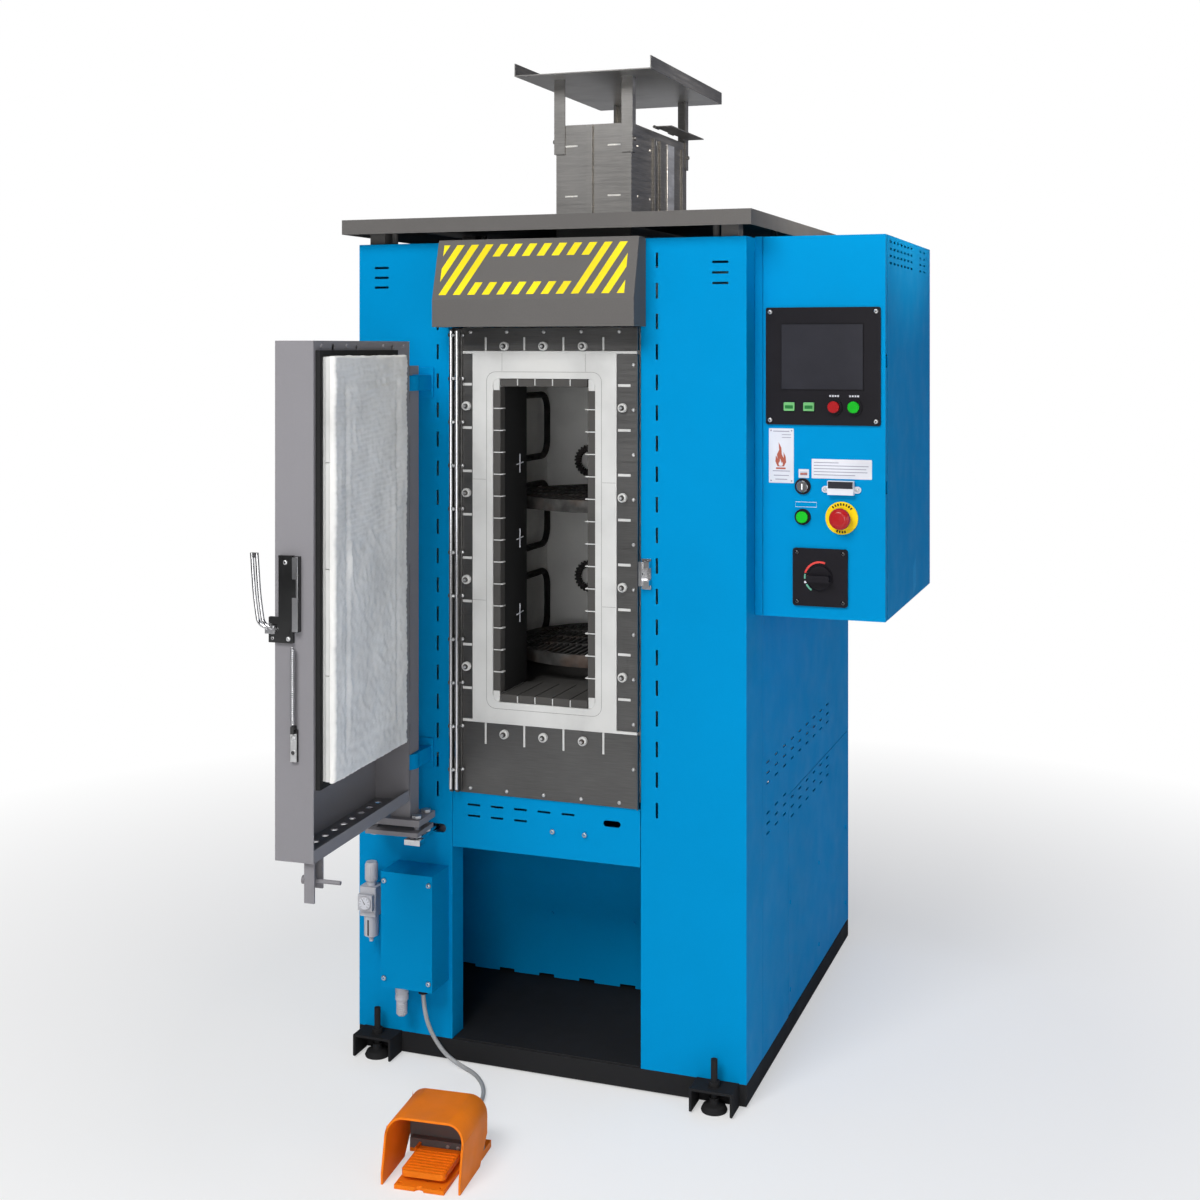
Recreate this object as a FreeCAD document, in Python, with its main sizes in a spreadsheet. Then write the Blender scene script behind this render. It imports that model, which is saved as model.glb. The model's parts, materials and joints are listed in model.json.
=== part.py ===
"""Electric rotary burnout furnace: a parametric FreeCAD document, in millimetres.

The cabinet frame has x to the right, y to the back and z up, with x = 0 in the middle of the cabinet and
y = 0 on its front face. The two datum cells move every sub-part from there, so that the file's origin
lies on the floor under the middle of the whole object.
"""
import FreeCAD, Part
import math
import os
import re
from types import SimpleNamespace

V = FreeCAD.Vector
CELLS = {
    # the origin's place under the object
    "datum_x": -110.5, "datum_y": -229.33,
    # cabinet
    "cabinet_half": 390.0, "cabinet_depth": 915.0, "cabinet_low": 42.0, "cabinet_top": 1565.0,
    "bay_half": 190.0, "bay_depth": 342.0, "skin": 2.0, "frame_low": 2.5, "frame_rail": 60.0,
    "column_return": 50.0, "column_side": 118.0, "crossbar_low": 411.0, "crossbar_top": 517.0,
    # furnace mouth
    "mouth_low": 657.0, "mouth_top": 1355.0, "mouth_half": 145.0, "throat_half": 103.0,
    "throat_low": 695.0, "throat_top": 1306.0, "throat_deep": 124.0, "lining": 15.0,
    "plate_front": -4.0, "board_front": -6.0,
    # chamber
    "chamber_half": 235.0, "chamber_back": 600.0, "chamber_low": 694.0, "chamber_top": 1320.0,
    "wool_half": 372.0, "wool_back": 760.0, "wool_low": 545.0, "wool_top": 1520.0,
    # turntable
    "table_y": 365.0, "shelf_radius": 200.0, "shaft_radius": 25.0,
    "lower_shelf_z": 735.0, "upper_shelf_z": 1040.0,
    # heat shield and flue
    "shield_half": 408.0, "shield_front": -37.0, "shield_back": 930.0,
    "shield_low": 1583.0, "shield_top": 1611.0,
    "flue_half": 81.0, "flue_front": 266.0, "flue_back": 645.0, "flue_top": 1817.0,
    "cap_half": 145.0, "cap_front": 198.0, "cap_back": 707.0, "cap_low": 1911.0, "cap_flange": 26.0,
    "flap_x": 90.0, "flap_z": 1823.0,
    # control box
    "control_right": 629.0, "control_front": 57.0, "control_back": 575.0,
    "control_low": 876.0, "control_top": 1567.0, "panel_left": 406.0, "panel_thick": 18.0,
    # door, in its own frame: origin on the hinge line, x towards the free edge
    "hinge_x": -258.0, "hinge_y": -66.0, "door_open": 87.0, "door_near": 33.0, "door_far": 423.0,
    "door_outer": -46.0, "door_inner": 24.0, "door_low": 518.0, "door_top": 1376.0, "door_sheet": 2.5,
    "block_near": 111.5, "block_far": 404.5, "block_face": 57.5, "block_low": 648.0,
    "block_top": 1350.0, "journal": 15.0, "crank": 40.0, "rod_x": -223.5, "rod_z": 443.0,
    # foot switch, in its own frame: origin at the middle of its front edge
    "foot_x": -33.5, "foot_y": -456.0, "foot_turn": 5.0, "foot_half": 69.0, "foot_long": 177.0,
    "guard_long": 134.0, "guard_top": 103.0,
}
d = SimpleNamespace(**CELLS)
WORD = re.compile(r"[a-z][a-z_]+")
HOMES = {  # sub-part frame: x, y and turn about z, as words of the sheet
    "cabinet": ("datum_x", "datum_y", "0"),
    "door": ("datum_x + hinge_x", "datum_y + hinge_y", "-door_open"),
    "foot": ("datum_x + foot_x", "datum_y + foot_y", "foot_turn"),
}

doc = FreeCAD.newDocument("burnout_furnace")
sheet = doc.addObject("Spreadsheet::Sheet", "Dims")
for row, (word, value) in enumerate(CELLS.items(), start=1):
    sheet.set(f"A{row}", word)
    sheet.set(f"B{row}", str(value))
    sheet.setAlias(f"B{row}", word)
doc.recompute()
nodes = []


# ---------------------------------------------------------------- helpers

def bind(piece, prop, value):
    """Sets a size: a number as it is, or a sum of the sheet's words as an expression."""
    if isinstance(value, str) and WORD.search(value):
        piece.setExpression(prop, WORD.sub(lambda word: "Dims." + word.group(0), value))
    else:
        piece.setExpression(prop, str(value))


def sized(piece, prop, value):
    """Sets a plain property directly where the size is a number."""
    if isinstance(value, str):
        bind(piece, prop, value)
    else:
        setattr(piece, prop, value)


def span(low, high):
    """The length from low to high, kept as words where either end has them."""
    if isinstance(low, str) or isinstance(high, str):
        return f"({high}) - ({low})"
    return high - low


def move(piece, x, y, z, axis=V(0, 0, 1), turn=0.0):
    piece.Placement = FreeCAD.Placement(
        V(*(0.0 if isinstance(c, str) else c for c in (x, y, z))), FreeCAD.Rotation(axis, turn))
    for name, value in (("x", x), ("y", y), ("z", z)):
        if isinstance(value, str):
            bind(piece, f"Placement.Base.{name}", value)
    return piece


def box(x0, x1, y0, y1, z0, z1):
    piece = doc.addObject("Part::Box", "Block")
    for prop, low, high in (("Length", x0, x1), ("Width", y0, y1), ("Height", z0, z1)):
        sized(piece, prop, span(low, high))
    return move(piece, x0, y0, z0)


TURNS = {"x": (V(0, 1, 0), 90.0), "y": (V(1, 0, 0), -90.0), "z": (V(0, 0, 1), 0.0)}


def rod(x, y, z, radius, length, along="z"):
    """A cylinder that starts at a point and runs along +x, +y or +z."""
    piece = doc.addObject("Part::Cylinder", "Rod")
    sized(piece, "Radius", radius)
    sized(piece, "Height", length)
    return move(piece, x, y, z, *TURNS[along])


def cone(x, y, z, radius, end_radius, length, along="z"):
    piece = doc.addObject("Part::Cone", "Cone")
    piece.Radius1, piece.Radius2, piece.Height = radius, end_radius, length
    return move(piece, x, y, z, *TURNS[along])


def ring(x, y, z, major, minor, along="z"):
    piece = doc.addObject("Part::Torus", "Ring")
    piece.Radius1, piece.Radius2 = major, minor
    return move(piece, x, y, z, *TURNS[along])


def group(pieces, name="Group"):
    """Several separate solids as one object."""
    piece = doc.addObject("Part::Compound", name)
    piece.Links = pieces
    return piece


def fuse(*pieces):
    piece = doc.addObject("Part::MultiFuse", "Joined")
    piece.Shapes = list(pieces)
    piece.Refine = True
    return piece


def cut(base, *tools):
    piece = doc.addObject("Part::Cut", "Trimmed")
    piece.Base = base
    piece.Tool = tools[0] if len(tools) == 1 else group(list(tools))
    piece.Refine = True
    return piece


def rounded(piece, radius, chosen):
    """Fillets the edges that chosen(edge) picks."""
    doc.recompute()
    piece_round = doc.addObject("Part::Fillet", "Rounded")
    piece_round.Base = piece
    edges = [i for i, edge in enumerate(piece.Shape.Edges, start=1) if chosen(edge)]
    piece_round.Edges = [(i, radius, radius) for i in edges]
    return piece_round


def upright(edge):
    first, last = edge.Vertexes[0].Point, edge.Vertexes[-1].Point
    return abs(first.x - last.x) < 0.01 and abs(first.y - last.y) < 0.01 and abs(first.z - last.z) > 1


def across(edge):
    """An edge along y, as the long edges of a piece that faces the front are."""
    first, last = edge.Vertexes[0].Point, edge.Vertexes[-1].Point
    return abs(first.x - last.x) < 0.01 and abs(first.z - last.z) < 0.01 and abs(first.y - last.y) > 1


def body_outline(name, role, points, offset=0.0):
    """A PartDesign body with a closed outline on one of its origin planes."""
    body = doc.addObject("PartDesign::Body", name + "_body")
    plane = next(f for f in body.Origin.OriginFeatures if f.Role == role)
    outline = body.newObject("Sketcher::SketchObject", name + "_outline")
    outline.AttachmentSupport = [(plane, "")]
    outline.MapMode = "FlatFace"
    outline.AttachmentOffset = FreeCAD.Placement(V(0, 0, offset), FreeCAD.Rotation())
    ends = points[1:] + points[:1]
    for (x0, y0), (x1, y1) in zip(points, ends):
        outline.addGeometry(Part.LineSegment(V(x0, y0, 0), V(x1, y1, 0)), False)
    return body, outline


def extruded(name, role, points, length, offset=0.0, both=False):
    """A prism from an outline; its length may be bound to the sheet."""
    body, outline = body_outline(name, role, points, offset)
    pad = body.newObject("PartDesign::Pad", name + "_pad")
    pad.Profile = outline
    pad.Midplane = both
    bind(pad, "Length", length)
    return body


def turned(name, points):
    """A lathe-turned body from (radius, height) points, about its own z."""
    body, outline = body_outline(name, "XZ_Plane", points)
    spin = body.newObject("PartDesign::Revolution", name + "_turned")
    spin.Profile = outline
    spin.ReferenceAxis = (outline, ["V_Axis"])
    spin.Angle = 360.0
    return body


def facing(name, x, y, z, points):
    """A turned body whose height points to the front, standing on the plane y."""
    return move(turned(name, points), x, y, z, V(1, 0, 0), 90.0)


def placed(piece, x, y, z, axis=V(0, 0, 1), turn=0.0):
    """One copy of a piece, in a group of its own, moved as a whole."""
    return move(group([piece], "Placed"), x, y, z, axis, turn)


def node(label, piece, home="cabinet"):
    """Makes a piece the sub-part of this name and puts it in its frame."""
    if piece.TypeId != "Part::Compound":
        piece = group([piece], label)
    piece.Label = label
    x, y, turn = HOMES[home]
    piece.Placement = FreeCAD.Placement()
    bind(piece, "Placement.Base.x", x)
    bind(piece, "Placement.Base.y", y)
    if turn != "0":
        bind(piece, "Placement.Rotation.Angle", turn)
    nodes.append(piece)
    return piece


def route_wire(points):
    """Straight runs joined by tangent arcs as large as their runs allow; prints the arcs' radii."""
    points = [V(*p) for p in points]
    edges, start, radii = [], points[0], []
    for before, corner, after in zip(points, points[1:], points[2:]):
        back, ahead = (before - corner).normalize(), (after - corner).normalize()
        half = (math.pi - back.getAngle(ahead)) / 2
        reach = 0.45 * min((before - corner).Length, (after - corner).Length)
        radii.append(reach / math.tan(half))
        entry, leave = corner + back * reach, corner + ahead * reach
        middle_way = (back + ahead).normalize()
        middle = corner + middle_way * (radii[-1] / math.cos(half) - radii[-1])
        edges.append(Part.LineSegment(start, entry).toShape())
        edges.append(Part.Arc(entry, middle, leave).toShape())
        start = leave
    edges.append(Part.LineSegment(start, points[-1]).toShape())
    print("arc radii", [round(r, 1) for r in radii])
    return Part.Wire(edges)


def tube_along(wire, radius, label):
    """A solid round bar along a wire, checked against section times length."""
    start = wire.Edges[0]
    circle = Part.Circle(start.valueAt(start.FirstParameter), start.tangentAt(start.FirstParameter), radius)
    shape = wire.makePipeShell([Part.Wire([circle.toShape()])], True, True)
    wanted = math.pi * radius ** 2 * wire.Length
    print(label, "length", round(wire.Length, 1), "volume ratio", round(shape.Volume / wanted, 4))
    piece = doc.addObject("Part::Feature", label + "_bar")
    piece.Shape = shape
    return piece


def rounded_loop(half_wide, half_high, radius):
    """A closed rounded rectangle about the origin, in the yz plane."""
    w, h, r, k = half_wide, half_high, radius, radius * (1 - math.sqrt(0.5))
    edges = []
    for sy, sz in ((1, 1), (-1, 1), (-1, -1), (1, -1)):
        side, top = V(0, sy * w, sz * (h - r)), V(0, sy * (w - r), sz * h)
        first, last = (side, top) if sy == sz else (top, side)
        edges.append(Part.Arc(first, V(0, sy * (w - k), sz * (h - k)), last).toShape())
    ends = edges[1:] + edges[:1]
    joined = []
    for here, ahead in zip(edges, ends):
        joined.append(here)
        start, end = here.valueAt(here.LastParameter), ahead.valueAt(ahead.FirstParameter)
        joined.append(Part.LineSegment(start, end).toShape())
    return Part.Wire(joined)


def spaced(first, pitch, count):
    """Evenly spaced places along a line."""
    return [first + pitch * k for k in range(count)]


def boards_round(x0, x1, z0, z1, hole, y0, y1):
    """Four upright boards that leave a rectangular hole (x0, x1, z0, z1) between them."""
    left, right, low, top = hole
    return [box(x0, left, y0, y1, z0, z1), box(right, x1, y0, y1, z0, z1),
            box(left, right, y0, y1, z0, low), box(left, right, y0, y1, top, z1)]


def slabs_round(x0, x1, y0, y1, hole, z0, z1):
    """Four level slabs that leave a rectangular hole (x0, x1, y0, y1) between them."""
    left, right, near, far = hole
    return [box(x0, left, y0, y1, z0, z1), box(right, x1, y0, y1, z0, z1),
            box(left, right, y0, near, z0, z1), box(left, right, far, y1, z0, z1)]


FOOT_X = 337.0


# ---------------------------------------------------------------- cabinet

def base_frame():
    """Four rails on edge with a channel bracket beside each corner, and the floor of the bay."""
    rail, deep = d.frame_rail, d.cabinet_depth
    rails = slabs_round("-cabinet_half", "cabinet_half", 0, "cabinet_depth",
                        ("-cabinet_half + frame_rail", "cabinet_half - frame_rail", rail, deep - rail),
                        "frame_low", "cabinet_low")
    for x in (-FOOT_X, FOOT_X):
        for near, far in ((-50, 0), (deep, deep + 50)):
            top = box(x - 40, x + 40, near, far, 39, 44)
            sides = [box(x - 40, x - 35, near, far, 2, 39), box(x + 35, x + 40, near, far, 2, 39)]
            rails.append(cut(fuse(top, *sides), rod(x, near + 25, 30, 6.5, 20)))
    floor = box("-cabinet_half + 6", "cabinet_half - 6", 3, "bay_depth + 80",
                "cabinet_low", "cabinet_low + 3")
    notches = [box(f"{side}bay_half - 2.5", f"{side}bay_half + 2.5", 0, "column_return + 1", 30, 60)
               for side in ("-", "")]
    node("base_frame", group(rails + [cut(floor, *notches)]))


def levelling_feet():
    profile = [(0, 0), (23, 0), (24, 3), (20, 11), (9, 14), (9, 24), (6, 24), (6, 92), (0, 92)]
    feet = []
    for x in (-FOOT_X, FOOT_X):
        for y in (-25, d.cabinet_depth + 25):
            nut = fuse(rod(x, y, 44, 6, 4), cut(rod(x, y, 44, 10.5, 9), rod(x, y, 43, 5.9, 11)))
            foot = placed(turned("foot", profile), x, y, 0)
            feet.append(fuse(foot, nut))
    node("levelling_feet", group(feet))


DASH_LOW, DASH_PITCH, DASH_LONG = 504.0, 55.9, 28.0


def dashes(x, skipped=()):
    """The row of short upright slots beside the bay."""
    rows = enumerate(spaced(DASH_LOW, DASH_PITCH, 19))
    return [box(x - 2, x + 2, -5, 8, z, z + DASH_LONG) for k, z in rows if k not in skipped]


def column(label, side, slots, extra):
    """A folded sheet column: front, short return into the bay and long return along the cabinet."""
    inner, outer, t = side * d.bay_half, side * d.cabinet_half, side * d.skin
    outline = [(inner, 0), (outer, 0), (outer, d.column_side), (outer - t, d.column_side),
               (outer - t, d.skin), (inner + t, d.skin), (inner + t, d.column_return),
               (inner, d.column_return)]
    sheet_fold = extruded(label, "XY_Plane", outline, "cabinet_top - cabinet_low", offset=d.cabinet_low)
    vents = [box(side * 341 - 15, side * 341 + 15, -5, 8, z, z + 4) for z in (1479, 1498, 1517)]
    node(label, cut(sheet_fold, *dashes(slots), *vents, *extra))


def cabinet_panels():
    """Side, rear and roof sheets, with the access panel of the right side."""
    low, top, half, deep = "cabinet_low", "cabinet_top", d.cabinet_half, "cabinet_depth"
    left = box("-cabinet_half", "-cabinet_half + skin", "column_side + 0.5", "cabinet_depth - skin - 0.5",
               low, "cabinet_top - skin - 0.5")
    right = box("cabinet_half - skin", "cabinet_half", "column_side + 0.5", "cabinet_depth - skin - 0.5",
                low, "cabinet_top - skin - 0.5")
    vents = []
    for column_y in spaced(146, 66, 9):
        for z in (451, 470, 489, 546, 565, 585):
            if z > 490 or column_y < 300:
                vents.append(box(half - 9, half + 9, column_y, column_y + 24, z - 2, z + 2))
    bay = box(half - 9, half + 9, 321, d.cabinet_depth - 10, d.cabinet_low - 1, 480)
    access = box("cabinet_half - skin", "cabinet_half", 322.5, "cabinet_depth - 11.5",
                 "cabinet_low + 2", 478.5)
    low_vents = []
    for column_y in spaced(344, 66, 6):
        for z in (431, 450, 469):
            low_vents.append(box(half - 9, half + 9, column_y, column_y + 24, z - 2, z + 2))
    heads = []
    for y, z in ((338, 264), (338, 90), (601, 264), (601, 90), (880, 264), (880, 90)):
        heads.append(cone(half, y, z, 5, 3.5, 2, "x"))
    access = fuse(cut(access, *low_vents), *heads)
    rear = box("-cabinet_half", "cabinet_half", "cabinet_depth - skin", deep, low, top)
    rear_vents = [box(x, x + 40, d.cabinet_depth - 9, d.cabinet_depth + 9, z, z + 4)
                  for x in spaced(-300, 80, 8) for z in (1200, 1220, 1240, 300, 320, 340)]
    roof = box("-cabinet_half", "cabinet_half", "skin + 0.5", "cabinet_depth - skin - 0.5",
               "cabinet_top - skin", top)
    corners = [box(s * x - 12, s * x + 12, 0, y, 1550, 1570) for s in (-1, 1)
               for x, y in ((d.cabinet_half, d.column_side + 2), (d.bay_half, d.column_return + 2))]
    duct = box("-flue_half - 1", "flue_half + 1", "flue_front - 1", "flue_back + 1", 1550, 1570)
    node("cabinet_panels", group([left, cut(right, *vents, bay), access, cut(rear, *rear_vents),
                                  cut(roof, duct, *corners)]))


def crossbar():
    front = box("-bay_half + 1", "bay_half - 1", 0, "skin", "crossbar_low", "crossbar_top")
    lips = [box("-bay_half + 1", "bay_half - 1", 2, 48, z, z + 2)
            for z in (d.crossbar_low, d.crossbar_top - 2)]
    slots = [box(x, x + 26, -5, 8, 492, 496) for x in spaced(-158, 48, 5)]
    slots += [box(x, x + 26, -5, 8, 471, 475) for x in spaced(-158, 48, 3)]
    oval = fuse(*(rod(x, -5, 485, 6, 20, "y") for x in (123, 145)), box(123, 145, -5, 15, 479, 491))
    heads = [rod(x, -5, 460, 4.5, 5, "y") for x in (17, 81)]
    node("crossbar", fuse(cut(fuse(front, *lips), *slots, oval), *heads))


def bay_liner():
    back = box("-cabinet_half + 4", "cabinet_half - 4", "bay_depth", "bay_depth + skin",
               "cabinet_low + 4", 409)
    roof = box("-cabinet_half + 4", "cabinet_half - 4", 52, "bay_depth", 409, 411)
    notches = [box(x, x + 34, d.bay_depth - 3, d.bay_depth + 5, 40, 52) for x in spaced(-330, 90, 8)]
    screws = [rod(x, d.bay_depth - 3, 180, 4, 3, "y") for x in (-120, 60)]
    node("bay_liner", fuse(cut(fuse(back, roof), *notches), *screws))


# ---------------------------------------------------------------- furnace mouth

STUD_PITCH, STUD_X = 165.0, 157.0
WELL = d.shaft_radius + 8
SHAFT_WELL = (-WELL, WELL, d.table_y - WELL, d.table_y + WELL)
MOUTH_MIDDLE = (d.mouth_low + d.mouth_top) / 2


def stud_places():
    side = [MOUTH_MIDDLE + STUD_PITCH * k for k in (-1.5, -0.5, 0.5, 1.5)]
    places = [(s * STUD_X, z) for s in (-1, 1) for z in side]
    places += [(x, z) for x in (-79, 0, 79) for z in (d.mouth_top + 12, d.mouth_low - 22)]
    return places


def front_plates():
    """Stainless plates around the ceramic board, with slots that let them grow with heat."""
    back = d.plate_front + 3
    slots = []
    for s in (-1, 1):
        for k in range(8):
            z = MOUTH_MIDDLE + STUD_PITCH * (k - 3.5) / 2
            slots.append(box(*sorted((s * 147, s * 172)), -9, 3, z - 2.5, z + 2.5))
    for x in (-118.5, -39.5, 39.5, 118.5):
        slots += [box(x - 2, x + 2, -9, 3, 1357, 1384), box(x - 2, x + 2, -9, 3, 613, 655)]
    slots = group(slots)
    top = box("-bay_half + 2", "bay_half - 2", "plate_front", back, "mouth_top + 4", 1402)
    low = box("-bay_half + 2", "bay_half - 2", "plate_front", back, "crossbar_top + 1", "mouth_low - 4")
    sides = [box(x0, x1, "plate_front", back, "mouth_low + 3", "mouth_top - 3")
             for x0, x1 in (("-bay_half + 2", "-mouth_half - 0.5"), ("mouth_half + 0.5", "bay_half - 2"))]
    holes = group([rod(x, -9, z, 5, 12, "y") for x, z in stud_places()])
    openings = group([slots, holes])
    lips = [box("bay_half - 4", "bay_half - 2", -12, "plate_front", z0, z1)
            for z0, z1 in ((d.crossbar_top + 1, d.mouth_low - 4), (d.mouth_low + 3, d.mouth_top - 3),
                           (d.mouth_top + 4, 1402))]
    pieces = [cut(fuse(low, lips[0]), openings), cut(sides[0], openings),
              cut(fuse(sides[1], lips[1]), openings), cut(fuse(top, lips[2]), openings)]
    node("front_plates", group(pieces + [hinge_rail()]))


def hinge_rail():
    """The upright rail on the hinge side: two bars held by clips."""
    back = box("-bay_half + 2", "-bay_half + 24", -8, "plate_front", "crossbar_top + 4", 1400)
    bars = [box(x, x + 6, -20, -8, d.crossbar_top + 4, 1400) for x in (-186, -174)]
    clips = [box(-189, -165, -22, -8, z, z + 6) for z in spaced(560, 82.5, 11)]
    return fuse(back, *bars, *clips)


def front_fasteners():
    """Perimeter screws of the plates, and the studs with their nuts that hold the ceramic."""
    front = d.plate_front
    heads = [rod(x, front - 3, z, 3.6, 3, "y") for x in spaced(-150, 75, 5) for z in (527, 1394)]
    heads += [rod(x, front - 3, z, 3.6, 3, "y") for x in (178,) for z in spaced(590, 82.5, 10)]
    studs = []
    for x, z in stud_places():
        studs.append(fuse(rod(x, -18, z, 2.5, 16.5, "y"), rod(x, -15, z, 4.4, 3, "y")))
    node("front_fasteners", group(heads + studs))


def ceramic_washers():
    washers = [cut(rod(x, -12, z, 8.5, 8, "y"), rod(x, -13, z, 3.4, 12, "y")) for x, z in stud_places()]
    node("ceramic_washers", group(washers))


def ceramic_frame():
    """White board round the mouth, with the two thin strips between the plates."""
    board = cut(box("-mouth_half", "mouth_half", "board_front", 16, "mouth_low", "mouth_top"),
                rounded(box("-throat_half", "throat_half", -20, 30, "throat_low", "throat_top"), 14, across))
    strips = [box("-bay_half + 24.5", "bay_half - 5", "board_front", 0, z - 2.5, z + 2.5)
              for z in (d.mouth_low - 0.5, d.mouth_top + 0.5)]
    node("ceramic_frame", fuse(board, *strips))


def refractory():
    """Dark blocks that line the throat, with a joint between each two, and the hearth plate."""
    inner, gap, front, back = d.throat_half - d.lining, 1.2, d.board_front + 2, d.throat_deep
    low, high, blocks = d.throat_low + d.lining, d.throat_top - d.lining, []
    count = 14
    pitch = (high - low) / count
    for s in (-1, 1):
        x0, x1 = sorted((s * inner, s * (d.throat_half - 0.5)))
        for k in range(count):
            z = low + pitch * k
            blocks.append(box(x0, x1, front, back, z + gap, z + pitch - gap))
    across_count = 5
    wide = (2 * d.throat_half - 29) / across_count
    for k in range(across_count):
        x = -d.throat_half + 14.5 + wide * k
        for z in (d.throat_low + 0.5, d.throat_top - d.lining):
            blocks.append(box(x + gap, x + wide - gap, front, back, z, z + d.lining - 0.5))
    hearth = slabs_round("-chamber_half + 3", "chamber_half - 3", "throat_deep + 14", "chamber_back - 3",
                         SHAFT_WELL, "chamber_low", "chamber_low + 8")
    node("refractory", group(blocks + hearth))


# ---------------------------------------------------------------- chamber and turntable

def chamber_insulation():
    """Fibre boards: a collar round the throat, the front wall, two side walls, back, floor and roof."""
    throat = ("-throat_half", "throat_half", "throat_low", "throat_top")
    collar = boards_round("-bay_half + 6", "bay_half - 6", "crossbar_top + 8", 1400, throat,
                          17, "throat_deep + 1")
    front = boards_round("-wool_half", "wool_half", "wool_low", "wool_top", throat,
                         "throat_deep + 1", "throat_deep + 11")
    near, back = "throat_deep + 11", "chamber_back"
    sides = [box(x0, x1, near, back, "chamber_low", "chamber_top")
             for x0, x1 in (("-wool_half", "-chamber_half"), ("chamber_half", "wool_half"))]
    rear = box("-wool_half", "wool_half", back, "wool_back", "wool_low", "wool_top")
    floor = slabs_round("-wool_half", "wool_half", near, back, SHAFT_WELL, "wool_low", "chamber_low")
    flue = (-d.flue_half + 22, d.flue_half - 22, d.table_y - 60, d.table_y + 60)
    roof = slabs_round("-wool_half", "wool_half", near, back, flue, "chamber_top", "wool_top")
    node("chamber_insulation", group(collar + front + sides + [rear] + floor + roof))


LOOP_HEIGHTS = (800.0, 996.0, 1192.0)


def heating_elements():
    """Sheathed element loops on both side walls and two ribbed coils on the back wall."""
    loop = rounded_loop(185, 68, 36)
    pieces = []
    for x in (-d.chamber_half + 14, d.chamber_half - 14):
        for z in LOOP_HEIGHTS:
            bar = tube_along(loop, 7, "element_loop")
            pieces.append(placed(bar, x, d.table_y + 15, z))
    coils = [ring(-126, d.chamber_back - 16, z, 28, 8, "y") for z in (854, 1112)]
    node("heating_elements", group(pieces + coils))


def shelf(label, z):
    """A round shelf: rim band and a grid of bars on a hub."""
    r, pitch, bar = d.shelf_radius, 14.0, 5.0
    rim = cut(rod(0, "table_y", z, "shelf_radius", 24), rod(0, "table_y", z - 1, "shelf_radius - 5", 30))
    grate = rod(0, "table_y", z + 17, "shelf_radius - 4.9", 6)
    slots = []
    for k in range(-13, 13):
        x0, x1 = pitch * k + bar / 2 + pitch / 2, pitch * (k + 1) - bar / 2 + pitch / 2
        reach = math.sqrt((r - 12) ** 2 - max(abs(x0), abs(x1)) ** 2)
        for near, far in ((-reach, -78), (-70, -4), (4, 70), (78, reach)):
            if far - near > 8 and min(abs(near), abs(far)) < reach:
                slots.append(box(x0, x1, d.table_y + near, d.table_y + far, z + 10, z + 30))
    arms = [box(-r + 4, r - 4, d.table_y - 4, d.table_y + 4, z + 2, z + 17),
            box(-4, 4, d.table_y - r + 4, d.table_y + r - 4, z + 2, z + 17)]
    hub = rod(0, "table_y", z - 6, "shaft_radius + 12", 23)
    bore = rod(0, "table_y", z - 10, "shaft_radius", 60)
    node(label, cut(fuse(rim, cut(grate, group(slots)), hub, *arms), bore))


def turntable_shaft():
    shaft = rod(0, "table_y", 536, "shaft_radius", "upper_shelf_z + 24 - 536")
    collars = [cut(rod(0, d.table_y, z, 38, 12), rod(0, d.table_y, z - 1, 24, 20))
               for z in (d.lower_shelf_z - 18, d.upper_shelf_z - 18)]
    node("turntable_shaft", fuse(shaft, *collars))


def drive_motor():
    """Gear motor under the chamber: it turns the shaft through its hollow output."""
    gearbox = box(-70, 70, "table_y - 60", "table_y + 60", 440, 530)
    motor = rod(70, "table_y", 485, 42, 190, "x")
    bearing = cut(rod(0, "table_y", 530, 60, 14), rod(0, "table_y", 530, "shaft_radius + 0.05", 40))
    fins = [rod(x, d.table_y, 485, 48, 4, "x") for x in spaced(110, 16, 8)]
    node("drive_motor", fuse(gearbox, motor, *fins, bearing))


# ---------------------------------------------------------------- hood, heat shield, flue

def hood():
    """Folded sheet over the mouth: raked face, short upright lip, closed ends and a top flange."""
    t, half = 1.5, 200.0
    outer = [(0, 1567), (-38, 1567), (-69, 1454), (-69, 1403), (0, 1403)]
    inner = [(5, 1567 - t), (-38 + t, 1567 - t), (-69 + t, 1454 - t / 3), (-69 + t, 1400), (5, 1400)]
    shell = extruded("hood_shell", "YZ_Plane", outer, 2 * half, both=True)
    hollow = extruded("hood_hollow", "YZ_Plane", inner, 2 * half - 2 * t, both=True)
    node("hood", cut(shell, hollow))


def heat_shield():
    """Shallow tray over the cabinet, on square blocks and round standoffs."""
    tray = cut(box("-shield_half", "shield_half", "shield_front", "shield_back", "shield_low", "shield_top"),
               box("-shield_half + 2", "shield_half - 2", "shield_front + 2", "shield_back - 2",
                   "shield_low - 5", "shield_top - 2"))
    duct = box("-flue_half - 4", "flue_half + 4", "flue_front - 4", "flue_back + 4", 1580, 1620)
    blocks = []
    for x in (-1, 1):
        for y in (12, 440, 860):
            near = min(x * 340, x * 372)
            blocks.append(box(near, near + 32, y, y + 32, "cabinet_top", "shield_top - 2"))
            blocks.append(rod(x * 326, y + 16, "cabinet_top", 6, "shield_top - 2 - cabinet_top"))
    node("heat_shield", group([cut(tray, duct)] + blocks))


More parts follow.
